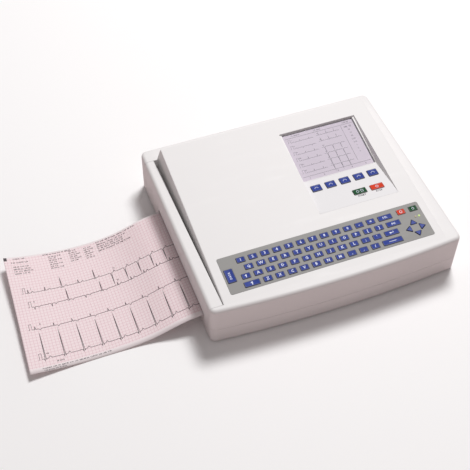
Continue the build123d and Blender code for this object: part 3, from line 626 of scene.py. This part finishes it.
def disc(bm, matrix, radius, thick, sides, slot=0):
    """A flat disc or, with three sides, a triangle, standing on the matrix's XY plane."""
    made = bmesh.ops.create_cone(
        bm, cap_ends=True, segments=sides, radius1=radius, radius2=radius, depth=thick,
        matrix=matrix @ Matrix.Translation((0, 0, thick / 2)),
    )
    for face in {face for vert in made["verts"] for face in vert.link_faces}:
        face.material_index = slot


def ring(bm, matrix, radius, width, thick, slot=0, sweep=2 * pi, steps=20):
    """A flat ring, or part of one: a small block's end swept round by the spin operator."""
    swept = bmesh.new()
    place = Matrix.Translation((radius, 0, thick / 2)) @ Matrix.Rotation(pi / 2, 4, "X")
    end = place @ Matrix.Diagonal((width, thick, 1.0, 1.0))
    bmesh.ops.create_grid(swept, x_segments=1, y_segments=1, size=0.5, matrix=end)
    full = sweep > 6.28
    if full:
        bmesh.ops.delete(swept, geom=swept.faces[:], context="FACES_ONLY")
    outline = swept.verts[:] + swept.edges[:] + swept.faces[:]
    bmesh.ops.spin(
        swept, geom=outline, cent=(0, 0, 0), axis=(0, 0, 1), dvec=(0, 0, 0), angle=sweep, steps=steps,
        use_merge=full, use_duplicate=False,
    )
    mesh = bpy.data.meshes.new("ring")
    swept.to_mesh(mesh)
    swept.free()
    stamp(bm, mesh, matrix, slot)


def arrow(bm, matrix, size, turn, slot):
    """A solid arrow that points along Y, turned about Z."""
    turned = matrix @ Matrix.Rotation(turn, 4, "Z")
    head = turned @ Matrix.Translation((0, size * 0.2, 0)) @ Matrix.Rotation(radians(-30), 4, "Z")
    disc(bm, head, size * 0.45, INK, 3, slot)
    tail = turned @ Matrix.Translation((0, -size * 0.25, INK / 2))
    bar(bm, tail, (size * 0.26, size * 0.5, INK), slot)


# %% [markdown]
# ## Key caps
# A real cap is moulded with a soft rim round a slightly sunken face, and the face is printed. Here a cap
# starts as a flat outline. Its corners are rounded, it is drawn up to height, the top edge is softened,
# and insets make the dark rim and, but for the arrows, the sunken face. The rim and the cap's sides get a
# darker copy of the key plastic: painted shade, for the shadow in the gap round each key. The frame's
# keys give the sizes.

# %% One cap
FACE, EDGE, LEGEND = range(3)  # a cap's material slots
CORNER = 1.2 * MM
SOFT_EDGE = 0.45 * MM
RIM = {4: 0.50 * MM, 3: 0.25 * MM}
DISH_SLOPE = 0.45 * MM
DISH_DEPTH = 0.18 * MM


def cap(bm, axes, low, high, corners=4, turn=0.0):
    """A key cap that fills a box on a panel. Returns the axes on its printed face."""
    size = high - low
    middle = (low + high) / 2
    base = axes @ Matrix.Translation((middle.x, middle.y, low.z))
    if corners == 3:
        shape = bmesh.ops.create_circle(bm, cap_ends=True, segments=3, radius=size.x / 2)
        bmesh.ops.rotate(bm, verts=shape["verts"], cent=(0, 0, 0), matrix=Matrix.Rotation(turn, 3, "Z"))
        for axis in (0, 1):
            first = min(vert.co[axis] for vert in shape["verts"])
            last = max(vert.co[axis] for vert in shape["verts"])
            for vert in shape["verts"]:
                vert.co[axis] = (vert.co[axis] - (first + last) / 2) * size[axis] / (last - first)
    else:
        shape = bmesh.ops.create_grid(bm, x_segments=1, y_segments=1, size=0.5)
        bmesh.ops.scale(bm, vec=(size.x, size.y, 1.0), verts=shape["verts"])
    rounded = bmesh.ops.bevel(
        bm, geom=shape["verts"], offset=CORNER, segments=4, profile=0.5, affect="VERTICES", material=-1,
    )
    flat_faces = {face for vert in rounded["verts"] for face in vert.link_faces}
    outline = max(flat_faces, key=lambda face: face.calc_area())
    drawn = bmesh.ops.extrude_face_region(bm, geom=[outline])
    top_verts = [item for item in drawn["geom"] if isinstance(item, bmesh.types.BMVert)]
    bmesh.ops.translate(bm, vec=(0, 0, size.z), verts=top_verts)
    top = next(item for item in drawn["geom"] if isinstance(item, bmesh.types.BMFace))
    softened = bmesh.ops.bevel(
        bm, geom=list(top.edges), offset=SOFT_EDGE, segments=2, profile=0.5, affect="EDGES", material=-1,
    )
    whole = set(softened["verts"]) | set(outline.verts)
    top = max({face for vert in softened["verts"] for face in vert.link_faces},
              key=lambda face: face.calc_center_median().z * 1e3 + face.calc_area())
    bmesh.ops.inset_region(bm, faces=[top], thickness=RIM[corners], use_even_offset=True)
    if corners == 4:
        bmesh.ops.inset_region(
            bm, faces=[top], thickness=DISH_SLOPE, depth=-DISH_DEPTH, use_even_offset=True)
    waiting = list(whole | set(top.verts))
    linked = set(waiting)
    for vert in waiting:
        for edge in vert.link_edges:
            other = edge.other_vert(vert)
            if other not in linked:
                linked.add(other)
                waiting.append(other)
    # The sides and rim get the darker copy of the plastic: painted shade.
    for face in {face for vert in linked for face in vert.link_faces}:
        face.material_index = EDGE
    for face in {face for vert in top.verts for face in vert.link_faces}:
        face.material_index = FACE
    bmesh.ops.transform(bm, matrix=base, verts=list(linked))
    return base @ Matrix.Translation((0, 0, size.z - DISH_DEPTH + INK / 2))


def finish_keys(name, bm, slot, body):
    piece = plain_object(name, bm, [finish[slot], key_painted_shade[slot], legend_ink])
    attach(piece, body)
    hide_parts(body)
    return piece


# %% Rows of letter keys
letters = {
    1: ["1", "2", "3", "4", "5", "6", "7", "8", "9", "0", "-", "="],
    2: ["Q", "W", "E", "R", "T", "Y", "U", "I", "O", "P", "[", "]"],
    3: ["up", "A", "S", "D", "F", "G", "H", "J", "K", "L", ";", "'"],
    4: ["Z", "X", "C", "V", "B", "N", "M", ",", ".", "/"],
}
for row, marks in letters.items():
    body = f"letter_keys_row_{row}"
    bm = bmesh.new()
    for mark, (low, high) in zip(marks, lumps(body, keyboard_axes)):
        face = cap(bm, keyboard_axes, low, high)
        if mark == "up":
            arrow(bm, face, 4.6 * MM, 0.0, LEGEND)
        else:
            stamp(bm, text_mesh(mark, 6.4 * MM), face, LEGEND)
    piece = finish_keys(body + "_caps", bm, "key_blue", body)
    print(piece.name, len(piece.data.polygons), "faces")


# %% Wide keys
def printed_key(body, axes, slot, draw):
    """One key of its own, with a mark drawn by a function of the bmesh and the face's axes."""
    bm = bmesh.new()
    low, high = lumps(body, axes)[0]
    draw(bm, cap(bm, axes, low, high))
    finish_keys(body + "_cap", bm, slot, body)


def words_on(words, height, turn=0.0):
    def draw(bm, face):
        stamp(bm, text_mesh(words, height), face @ Matrix.Rotation(turn, 4, "Z"), LEGEND)
    return draw


def legend_bar(bm, face, x, y, width, height):
    """A printed bar, its middle x and y millimetres from the middle of a key's face."""
    place = face @ Matrix.Translation((x * MM, y * MM, INK / 2))
    bar(bm, place, (width * MM, height * MM, INK), LEGEND)


def legend_ring(bm, face, x, y, radius, width, sweep=2 * pi, steps=20, turn=0.0):
    """A printed ring or arc, its centre x and y millimetres from the middle of a key's face."""
    place = face @ Matrix.Translation((x * MM, y * MM, 0)) @ Matrix.Rotation(turn, 4, "Z")
    ring(bm, place, radius * MM, width * MM, INK, LEGEND, sweep, steps)


def return_mark(bm, face):
    """A bent arrow to the left."""
    arrow(bm, face @ Matrix.Translation((-1.2 * MM, 0, 0)), 4.6 * MM, pi / 2, LEGEND)
    legend_bar(bm, face, 2.6, 0.9, 1.0, 2.6)


def space_mark(bm, face):
    legend_bar(bm, face, 0.0, 0.0, 12.0, 0.7)


def shift_mark(bm, face):
    arrow(bm, face, 5.2 * MM, 0.0, LEGEND)


printed_key("delete_key", keyboard_axes, "key_blue", words_on("DEL", 4.4 * MM))
printed_key("new_line_key", keyboard_axes, "key_blue", words_on("INS", 4.4 * MM))
printed_key("enter_key", keyboard_axes, "key_blue", return_mark)
printed_key("space_key", keyboard_axes, "key_blue", space_mark)
printed_key("shift_key", keyboard_axes, "key_blue", shift_mark)
printed_key("patient_data_key", keyboard_axes, "key_blue", words_on("DATA", 4.6 * MM, pi / 2))


# %% Arrow keys
for body, turn in (("up_key", 0), ("left_key", 90), ("down_key", 180), ("right_key", 270)):
    bm = bmesh.new()
    low, high = lumps(body, keyboard_axes)[0]
    cap(bm, keyboard_axes, low, high, 3, radians(turn))
    finish_keys(body + "_cap", bm, "key_blue", body)


# %% Power, start, stop and soft keys
def power_mark(bm, face):
    """A broken ring with a bar through the gap."""
    legend_ring(bm, face, 0.0, 0.0, 1.8, 0.55, radians(310), 16, radians(115))
    legend_bar(bm, face, 0.0, 1.5, 0.55, 2.2)


def start_mark(bm, face):
    """A ring and a small sheet: record on paper."""
    legend_ring(bm, face, -3.6, 0.0, 2.0, 0.6)
    for step in (-1, 1):
        legend_bar(bm, face, 3.6, step * 1.9, 4.2, 0.6)
        legend_bar(bm, face, 3.6 + step * 1.9, 0.0, 0.6, 4.0)


def stop_mark(bm, face):
    legend_ring(bm, face, 0.0, 0.0, 2.0, 0.7)


def arch_mark(bm, face):
    """A low arch that points at the screen."""
    legend_ring(bm, face, 0.0, -1.4, 2.9, 0.6, pi, 12)


printed_key("off_key", keyboard_axes, "key_red", stop_mark)
printed_key("on_key", keyboard_axes, "key_green", power_mark)
printed_key("start_key", panel_axes, "key_green", start_mark)
printed_key("stop_key", panel_axes, "key_red", stop_mark)
for index in range(5):
    printed_key(f"soft_key_{index + 1}", panel_axes, "key_blue", arch_mark)


# %% [markdown]
# ## Captions and lights on the panels
# Two small words are printed under the green and red keys. A pair of lights beside the arrow keys tells
# that the mains and the battery are in use. Each is a little ball, half sunk in the panel.

# %% Captions
bm = bmesh.new()
for body, words in (("start_key", "START"), ("stop_key", "STOP")):
    low, high = lumps(body, panel_axes)[0]
    place = Matrix.Translation(((low.x + high.x) / 2, low.y - 3.4 * MM, 0.012 * MM))
    stamp(bm, text_mesh(words, 4.6 * MM, bold=0.035), panel_axes @ place, 0)
captions = plain_object("panel_captions", bm, [caption_ink])
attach(captions, "root")


# %% Indicator lights
LIGHT_GAP = 6.0 * MM
LIGHT_RADIUS = 1.5 * MM


def glow(name, colour, strength):
    item, tree, shader = new_material(name)
    effect = placed_group(tree, moulded_grain, Grain=900.0)
    mixed = colour_mix(tree, effect["Tone"], shade(colour, 0.8), colour)
    wire(tree, mixed, shader.inputs["Base Color"])
    wire(tree, mixed, shader.inputs["Emission Color"])
    shader.inputs["Emission Strength"].default_value = strength
    shader.inputs["Roughness"].default_value = 0.2
    return item


low, high = lumps("on_key", keyboard_axes)[0]
light_place = Vector(((low.x + high.x) / 2 + 3.2 * MM, low.y - 10.6 * MM, 0))
bm = bmesh.new()
for slot in (0, 1):
    matrix = keyboard_axes @ Matrix.Translation(light_place - Vector((slot * LIGHT_GAP, 0, 0)))
    dome = bmesh.ops.create_uvsphere(bm, u_segments=20, v_segments=12, radius=LIGHT_RADIUS, matrix=matrix)
    for face in {face for vert in dome["verts"] for face in vert.link_faces}:
        face.material_index = slot
lights = plain_object("indicator_lights", bm, [
    glow("light_green", (0.62, 0.85, 0.25), 0.55), glow("light_amber", (0.70, 0.62, 0.40), 0.05),
])
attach(lights, "root")


# %% [markdown]
# ## The heartbeat
# The same trace is drawn on the screen and on the paper. One beat is a sum of smooth bumps: a small one,
# a sharp spike between two dips, and a broad one. A function gives the height at any moment, and a trace
# follows it. Bending a thin tube along it gives a line that keeps its width on a curved page.

# %% A beat and a trace
def beat(phase, spike, dip=0.12, wave=0.16, first=0.08):
    """Height of one beat, in units of its spike's scale, for a phase from 0 to 1."""
    bumps = (
        (first, 0.20, 0.030), (-0.10 * abs(spike), 0.312, 0.014), (spike, 0.35, 0.017),
        (-dip * abs(spike), 0.388, 0.015), (wave, 0.60, 0.05),
    )
    return sum(height * exp(-((phase - centre) / width) ** 2) for height, centre, width in bumps)


def trace_points(length, period, height, spike, step=0.30, start_pulse=True, **shape):
    """Points (along, up) of a trace in millimetres, with a square pulse of 10 mm first."""
    points = [(0.0, 0.0), (1.5, 0.0), (1.5, height), (5.0, height), (5.0, 0.0)] if start_pulse else []
    offset = 6.5 if start_pulse else 0.0
    count = int((length - offset) / step)
    spikes = spike if isinstance(spike, tuple) else (spike,)
    for index in range(count):
        along = offset + index * step
        drift = 0.25 * sin(along / 37.0) + 0.12 * sin(along * 1.9) * sin(along * 0.7)
        turn = int(along / period) % len(spikes)
        points.append((along, drift + height * beat((along % period) / period, spikes[turn], **shape)))
    return points


def line_mesh(paths, width):
    """Thin flat-lying tubes along paths of (x, y) in millimetres, as one mesh in metres."""
    curve = bpy.data.curves.new("line", "CURVE")
    curve.dimensions = "3D"
    curve.bevel_depth = width * MM / 2
    curve.bevel_resolution = 0
    curve.use_fill_caps = True
    for path in paths:
        spline = curve.splines.new("POLY")
        spline.points.add(len(path) - 1)
        for point, (x, y) in zip(spline.points, path):
            point.co = (x * MM, y * MM, 0.0, 1.0)
    return mesh_of(curve)


def shifted(points, x, y):
    return [(x + along, y + up) for along, up in points]


# %% [markdown]
# ## The screen
# The screen's image lies just under the clear pane. It is a thin film that fills the pane, with six rows
# of traces in two columns, and small figures round them. Two dark bars along its top and right edges are
# painted shadow, where the recess shades the screen. Axes on the pane place it all.

# %% Screen film
pane_low, pane_high = lumps("display_window", window_axes)[0]
film_level = pane_low.z + 0.08 * MM
film_size = (pane_high.x - pane_low.x - 0.3 * MM, pane_high.y - pane_low.y - 0.3 * MM, 0.05 * MM)
bm = bmesh.new()
bar(bm, window_axes @ Matrix.Translation((0, 0, film_level)), film_size)
film = plain_object("screen_film", bm, [finish["screen"]])
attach(film, "root")
screen_width = film_size[0] / MM
screen_height = film_size[1] / MM
print("screen", round(screen_width, 1), "by", round(screen_height, 1), "mm")

# %% Screen image
row_gap = 12.2
softkey_gap = 24.0
half_w = screen_width / 2
half_h = screen_height / 2
paths = []
for row in range(6):
    y = half_h - 17.0 - row * row_gap
    spike = (0.55, -0.4, 0.7, 0.9, 0.45, 0.8)[row]
    paths.append(shifted(trace_points(44.0, 15.5, 6.0, spike), -half_w + 5.0, y))
    tall = (1.1, 1.4, -2.2, -2.8, -2.9, -2.2)[row]
    paths.append(shifted(trace_points(41.0, 13.6, 6.5, tall, start_pulse=False), -half_w + 54.0, y + 1.5))
frame_x = half_w - 24.0
paths.append([(frame_x, -half_h + 14.0), (frame_x, half_h - 9.0)])
paths.append([(-half_w + 3.0, half_h - 8.0), (half_w - 3.0, half_h - 8.0)])
paths.append([(-half_w + 3.0, -half_h + 8.5), (half_w - 3.0, -half_h + 8.5)])
bm = bmesh.new()
image_axes = window_axes @ Matrix.Translation((0, 0, film_level + 0.04 * MM))


def place_on_screen(x, y):
    """Axes on the film, x and y millimetres from its middle."""
    return image_axes @ Matrix.Translation((x * MM, y * MM, 0))


def write_on_screen(words, x, y, height):
    stamp(bm, text_mesh(words, height * MM), place_on_screen(x, y), 0)


# Painted shadow: dark bars along the film's top and right edges, where the recess shades the screen.
bar(bm, place_on_screen(0.0, half_h - 0.5), (film_size[0], 1.0 * MM, 0.04 * MM))
bar(bm, place_on_screen(half_w - 0.7, 0.0), (1.4 * MM, film_size[1], 0.04 * MM))
stamp(bm, line_mesh(paths, 0.50), image_axes @ Matrix.Diagonal((1, 1, 0.1, 1)), 0)
for row, lead in enumerate(("I", "II", "III", "aVR", "aVL", "aVF")):
    y = half_h - 12.5 - row * row_gap
    write_on_screen(lead, -half_w + 12.0, y, 3.0)
    write_on_screen(f"V{row + 1}", -half_w + 58.0, y, 3.0)
for index, words in enumerate(("HR  72", "25", "10", "50", "12:30", "0:10", "1", "2", "3")):
    write_on_screen(words, half_w - 13.0, half_h - 13.5 - index * 6.4, 4.4 if index == 0 else 3.4)
for x, words in ((-half_w + 22.0, "10 mm/mV"), (-2.0, "25 mm/s"), (half_w - 14.0, "0-35 Hz")):
    write_on_screen(words, x, half_h - 4.6, 3.4)
for index in range(5):
    write_on_screen(str(index + 1), (index - 2) * softkey_gap, -half_h + 4.6, 3.8)
screen_image = plain_object("screen_picture", bm, [screen_ink_and_shade])
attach(screen_image, "root")
print("screen image", len(screen_image.data.polygons), "faces")


# %% [markdown]
# ## The page
# A page feeds out of the slot, falls to the table and lies along it with its far end curling up, more at
# its back corner than at its front. It is a flat grid, bent by one function of the distance from the
# casing. The same function places everything printed on it, so lines stay on the paper.

# %% Bending the page
sheet_low, sheet_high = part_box("paper_sheet")
page_start = sheet_high.x
page_front = sheet_low.y
page_width = sheet_high.y - sheet_low.y
page_length = PAGE_LENGTH * MM
slot_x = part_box("drawer_front")[0].x
inside_slot = page_start - slot_x
slot_level = 29.2 * MM
table_level = 0.9 * MM
fall_middle = 0.052
fall_spread = 0.0205
front_tilt_share = 0.30


def still_up(outside):
    """Share of the fall that is still to come, at a distance outside the slot."""
    return 1.0 / (1.0 + exp((outside - fall_middle) / fall_spread))


def page_profile(distance):
    """Height of the page's middle line over the table, at a level distance from its inner end."""
    outside = distance - inside_slot
    if outside < 0:
        return slot_level + 0.7 * MM * -outside / inside_slot
    curl = 11.5 * MM * max(0.0, (outside - 0.135) / 0.115) ** 2
    return table_level + (slot_level - table_level) * still_up(outside) / still_up(0.0) + curl


def page_twist(distance):
    """How far the back edge stands above the front edge, at a level distance from the inner end."""
    outside = max(0.0, distance - inside_slot - 0.11)
    return 16.5 * MM * (outside / 0.14) ** 1.5


run_steps = 240
run = [(page_start, page_profile(0.0))]
for index in range(run_steps):
    x, z = run[-1]
    length = page_length / run_steps
    reach = page_start - x
    slope = (page_profile(reach + 0.5 * MM) - page_profile(reach)) / (0.5 * MM)
    level = length / (1 + slope * slope) ** 0.5
    run.append((x - level, page_profile(reach + level)))


def on_page(along, across, lift):
    """Point on the page, from metres along it from its inner end and across it from its front edge."""
    position = min(max(along / page_length, 0.0), 0.99999) * run_steps
    index = int(position)
    share = position - index
    x = run[index][0] * (1 - share) + run[index + 1][0] * share
    z = run[index][1] * (1 - share) + run[index + 1][1] * share
    half = across / page_width - 0.5
    z += page_twist(page_start - x) * half * (1.0 if half > 0 else front_tilt_share)
    skew = 9.0 * MM * max(0.0, (page_start - x - 0.2) / 0.1) * (0.5 - across / page_width)
    return Vector((x - skew, page_front + across, z + lift))


# %% Page mesh
bm = bmesh.new()
grid_map = bm.loops.layers.uv.new("page")
bmesh.ops.create_grid(bm, x_segments=150, y_segments=24, size=0.5)
for face in bm.faces:
    for loop in face.loops:
        loop[grid_map].uv = (loop.vert.co.x + 0.5, loop.vert.co.y + 0.5)
for vert in bm.verts:
    vert.co = on_page((vert.co.x + 0.5) * page_length, (vert.co.y + 0.5) * page_width, 0.02 * MM)
bmesh.ops.reverse_faces(bm, faces=bm.faces)
mesh = bpy.data.meshes.new("chart_page")
bm.to_mesh(mesh)
bm.free()
mesh.materials.append(page_paper)
mesh.shade_smooth()
page = bpy.data.objects.new("chart_page", mesh)
bpy.context.scene.collection.objects.link(page)
thickness = page.modifiers.new("paper", "SOLIDIFY")
thickness.thickness = 0.12 * MM
thickness.offset = 0.0
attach(page, "drawer")
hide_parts("paper_sheet")
print("page", round(page_width / MM), "by", round(page_length / MM), "mm, far end at", round(run[-1][0], 3))


# %% [markdown]
# ## The recording
# Four traces run the length of the page under a block of small figures. Their ink is drawn flat first,
# with x along the page from its far end, and then bent onto the page by the page's own function.

# %% Recording
INK_LIFT = 0.14 * MM
ink = bmesh.new()


def print_on_page(mesh, x=0.0, y=0.0):
    """Moves a flat drawing x and y millimetres from the page's far front corner, bends it and inks it."""
    mesh.transform(Matrix.Translation((x * MM, y * MM, 0)))
    for vert in mesh.vertices:
        vert.co = on_page(page_length - vert.co.x, vert.co.y, INK_LIFT + vert.co.z * 0.1)
    stamp(ink, mesh, Matrix.Identity(4), 0)


def page_rows():
    """The four traces, in millimetres from the page's far end and its front edge."""
    length = 262.0
    first = trace_points(length / 2, 26.0, 10.0, (0.7, 0.7, 2.1, 0.7, 1.9), wave=0.22)
    second = trace_points(length / 2, 26.0, 10.0, (-0.5, -0.6, 2.3, -0.5, 2.0), wave=-0.2)
    first_tall = trace_points(length / 2, 22.0, 10.0, -2.6, start_pulse=False, wave=0.35)
    second_tall = trace_points(length / 2, 22.0, 10.0, 0.6, start_pulse=False, wave=0.30)
    return [
        shifted(first, 16.0, 140.0) + shifted(first_tall, 16.0 + length / 2, 140.0),
        shifted(second, 20.0, 114.0) + shifted(second_tall, 20.0 + length / 2, 114.0),
        shifted(trace_points(length, 27.5, 10.0, 0.55, wave=-0.22), 12.0, 74.0),
        shifted(trace_points(length, 27.5, 10.0, 5.0, dip=0.06, wave=0.3), 16.0, 21.0),
    ]


print_on_page(line_mesh(page_rows(), 0.75))

# %% Figures on the page
figures = (
    "HR 72 1/min", "PR 158 ms", "QRS 84 ms", "QT 382 ms", "P 60", "QRS 45", "T 38", "168 cm",
    "70 kg", "12:30:00", "10 mm/mV", "25 mm/s", "0.10", "0.25", "1.00", "0.50", "2.20", "0.05",
    "0.75", "1.50", "V1", "V2", "V5", "aVR",
)


def figure_lines(x, y, rows, length, height=3.3, gap=4.4, first=0):
    """Rows of figures down from a left top corner, each about as long as a length in millimetres."""
    turn = first
    for row in range(rows):
        words = figures[turn % len(figures)]
        turn += 5
        while len(words) * height * 0.62 < length - 9.0:
            words += "  " + figures[turn % len(figures)]
            turn += 7
        print_on_page(text_mesh(words, height * MM, bold=0.03, side="LEFT"), x, y - row * gap)


figure_lines(14.0, 206.0, 1, 30.0, first=9)
figure_lines(11.0, 199.0, 1, 38.0, first=4)
figure_lines(12.0, 191.0, 4, 38.0, first=7)
figure_lines(62.0, 206.5, 1, 70.0, 3.0, first=3)
figure_lines(70.0, 201.0, 7, 26.0, 3.0, 3.8, 1)
figure_lines(103.0, 204.0, 6, 17.0, 3.0, 4.0, 13)
figure_lines(127.0, 202.0, 6, 19.0, 3.0, 4.0, 12)
figure_lines(148.0, 206.0, 1, 96.0, 3.4, first=12)
figure_lines(148.0, 201.4, 4, 72.0, 3.4, 4.3, 2)
figure_lines(40.0, 13.0, 1, 14.0, 3.0, first=11)
figure_lines(18.0, 5.4, 1, 150.0, 3.0, first=10)
figure_lines(20.0, 1.8, 1, 40.0, 2.4, first=6)
for y, names in ((147.0, ("I", "V1")), (123.0, ("II", "V2")), (82.0, ("II",)), (29.0, ("V5",))):
    for half, text in enumerate(names):
        print_on_page(text_mesh(text, 3.4 * MM, bold=0.03), 30.0 + half * 131.0, y)
corner_mark = bmesh.new()
bar(corner_mark, Matrix.Translation((2.6 * MM, 206.6 * MM, 0)), (5.2 * MM, 6.0 * MM, 0.2 * MM))
corner_mesh = bpy.data.meshes.new("corner_mark")
corner_mark.to_mesh(corner_mesh)
corner_mark.free()
print_on_page(corner_mesh)
recording = plain_object("page_recording", ink, [trace_ink])
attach(recording, "drawer")
print("recording", len(recording.data.polygons), "faces")


# %% [markdown]
# ## The paper pack
# The pack in the drawer is one long strip folded to and fro. From outside it shows as a block of leaves,
# no two quite in line. Each leaf is a thin block, shifted a hair by a fixed rule, so it never changes.

# %% Folded leaves
pack_low, pack_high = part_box("paper_stack")
leaf_count = 26
leaf = (pack_high.z - pack_low.z) / leaf_count
leaf_inset = 0.8 * MM
leaf_size = (pack_high.x - pack_low.x - leaf_inset, pack_high.y - pack_low.y - leaf_inset, leaf * 0.86)
middle = (pack_low + pack_high) / 2
bm = bmesh.new()
for index in range(leaf_count):
    shift = 0.35 * MM * sin(index * 2.4)
    slide = 0.30 * MM * cos(index * 1.7)
    level = pack_low.z + (index + 0.5) * leaf
    bar(bm, Matrix.Translation((middle.x + shift, middle.y + slide, level)), leaf_size)
pack = plain_object("paper_pack", bm, [finish["paper"]])
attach(pack, "drawer")
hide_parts("paper_stack")
print("pack of", leaf_count, "leaves")


# %% [markdown]
# ## Sockets
# A socket is known by its contacts. The lead sockets on the right get two staggered rows of pins and a
# threaded pillar at each end. The mains inlet gets three bright blades over its plain ones.

# %% Lead socket contacts
PIN_PITCH = 2.77 * MM
PIN_ROW_GAP = 2.84 * MM


def socket_contacts(name, node, body):
    """Two rows of pins and two pillars for each lump of a node."""
    bm = bmesh.new()
    axes = Matrix.Rotation(pi / 2, 4, "Y")
    for low, high in lumps(node, Matrix.Identity(4)):
        face_x = high.x
        middle_y = (low.y + high.y) / 2
        middle_z = (low.z + high.z) / 2
        half = (high.y - low.y) / 2
        count = int((half - 5.5 * MM) * 2 / PIN_PITCH)
        for row, many in ((0.5, count), (-0.5, count - 1)):
            for index in range(many):
                y = middle_y + (index - (many - 1) / 2) * PIN_PITCH
                place = Matrix.Translation((face_x - 6.5 * MM, y, middle_z + row * PIN_ROW_GAP))
                disc(bm, place @ axes, 0.5 * MM, 5.2 * MM, 10, 0)
        for side in (-1, 1):
            place = Matrix.Translation((face_x, middle_y + side * (half - 2.4 * MM), middle_z))
            disc(bm, place @ axes, 2.4 * MM, 3.4 * MM, 6, 1)
    piece = plain_object(name, bm, [finish["bronze"], finish["steel"]])
    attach(piece, body)


socket_contacts("patient_socket_contacts", "patient_socket", "root")
socket_contacts("serial_socket_contacts", "serial_sockets", "root")

# %% Inlet blades
inlet_low, inlet_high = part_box("mains_inlet")
inlet_x = (inlet_low.x + inlet_high.x) / 2
inlet_z = (inlet_low.z + inlet_high.z) / 2
bm = bmesh.new()
for x, z in ((-7.0, -1.5), (0.0, 2.5), (7.0, -1.5)):
    place = Matrix.Translation((inlet_x + x * MM, inlet_high.y - 11.9 * MM, inlet_z + z * MM))
    verts = bar(bm, place, (2.2 * MM, 12.2 * MM, 4.2 * MM))
    edges = {edge for vert in verts for edge in vert.link_edges}
    bmesh.ops.bevel(
        bm, geom=list(edges), offset=0.35 * MM, segments=2, profile=0.5, affect="EDGES", material=-1,
    )
blades = plain_object("inlet_blades", bm, [finish["steel"]])
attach(blades, "root")
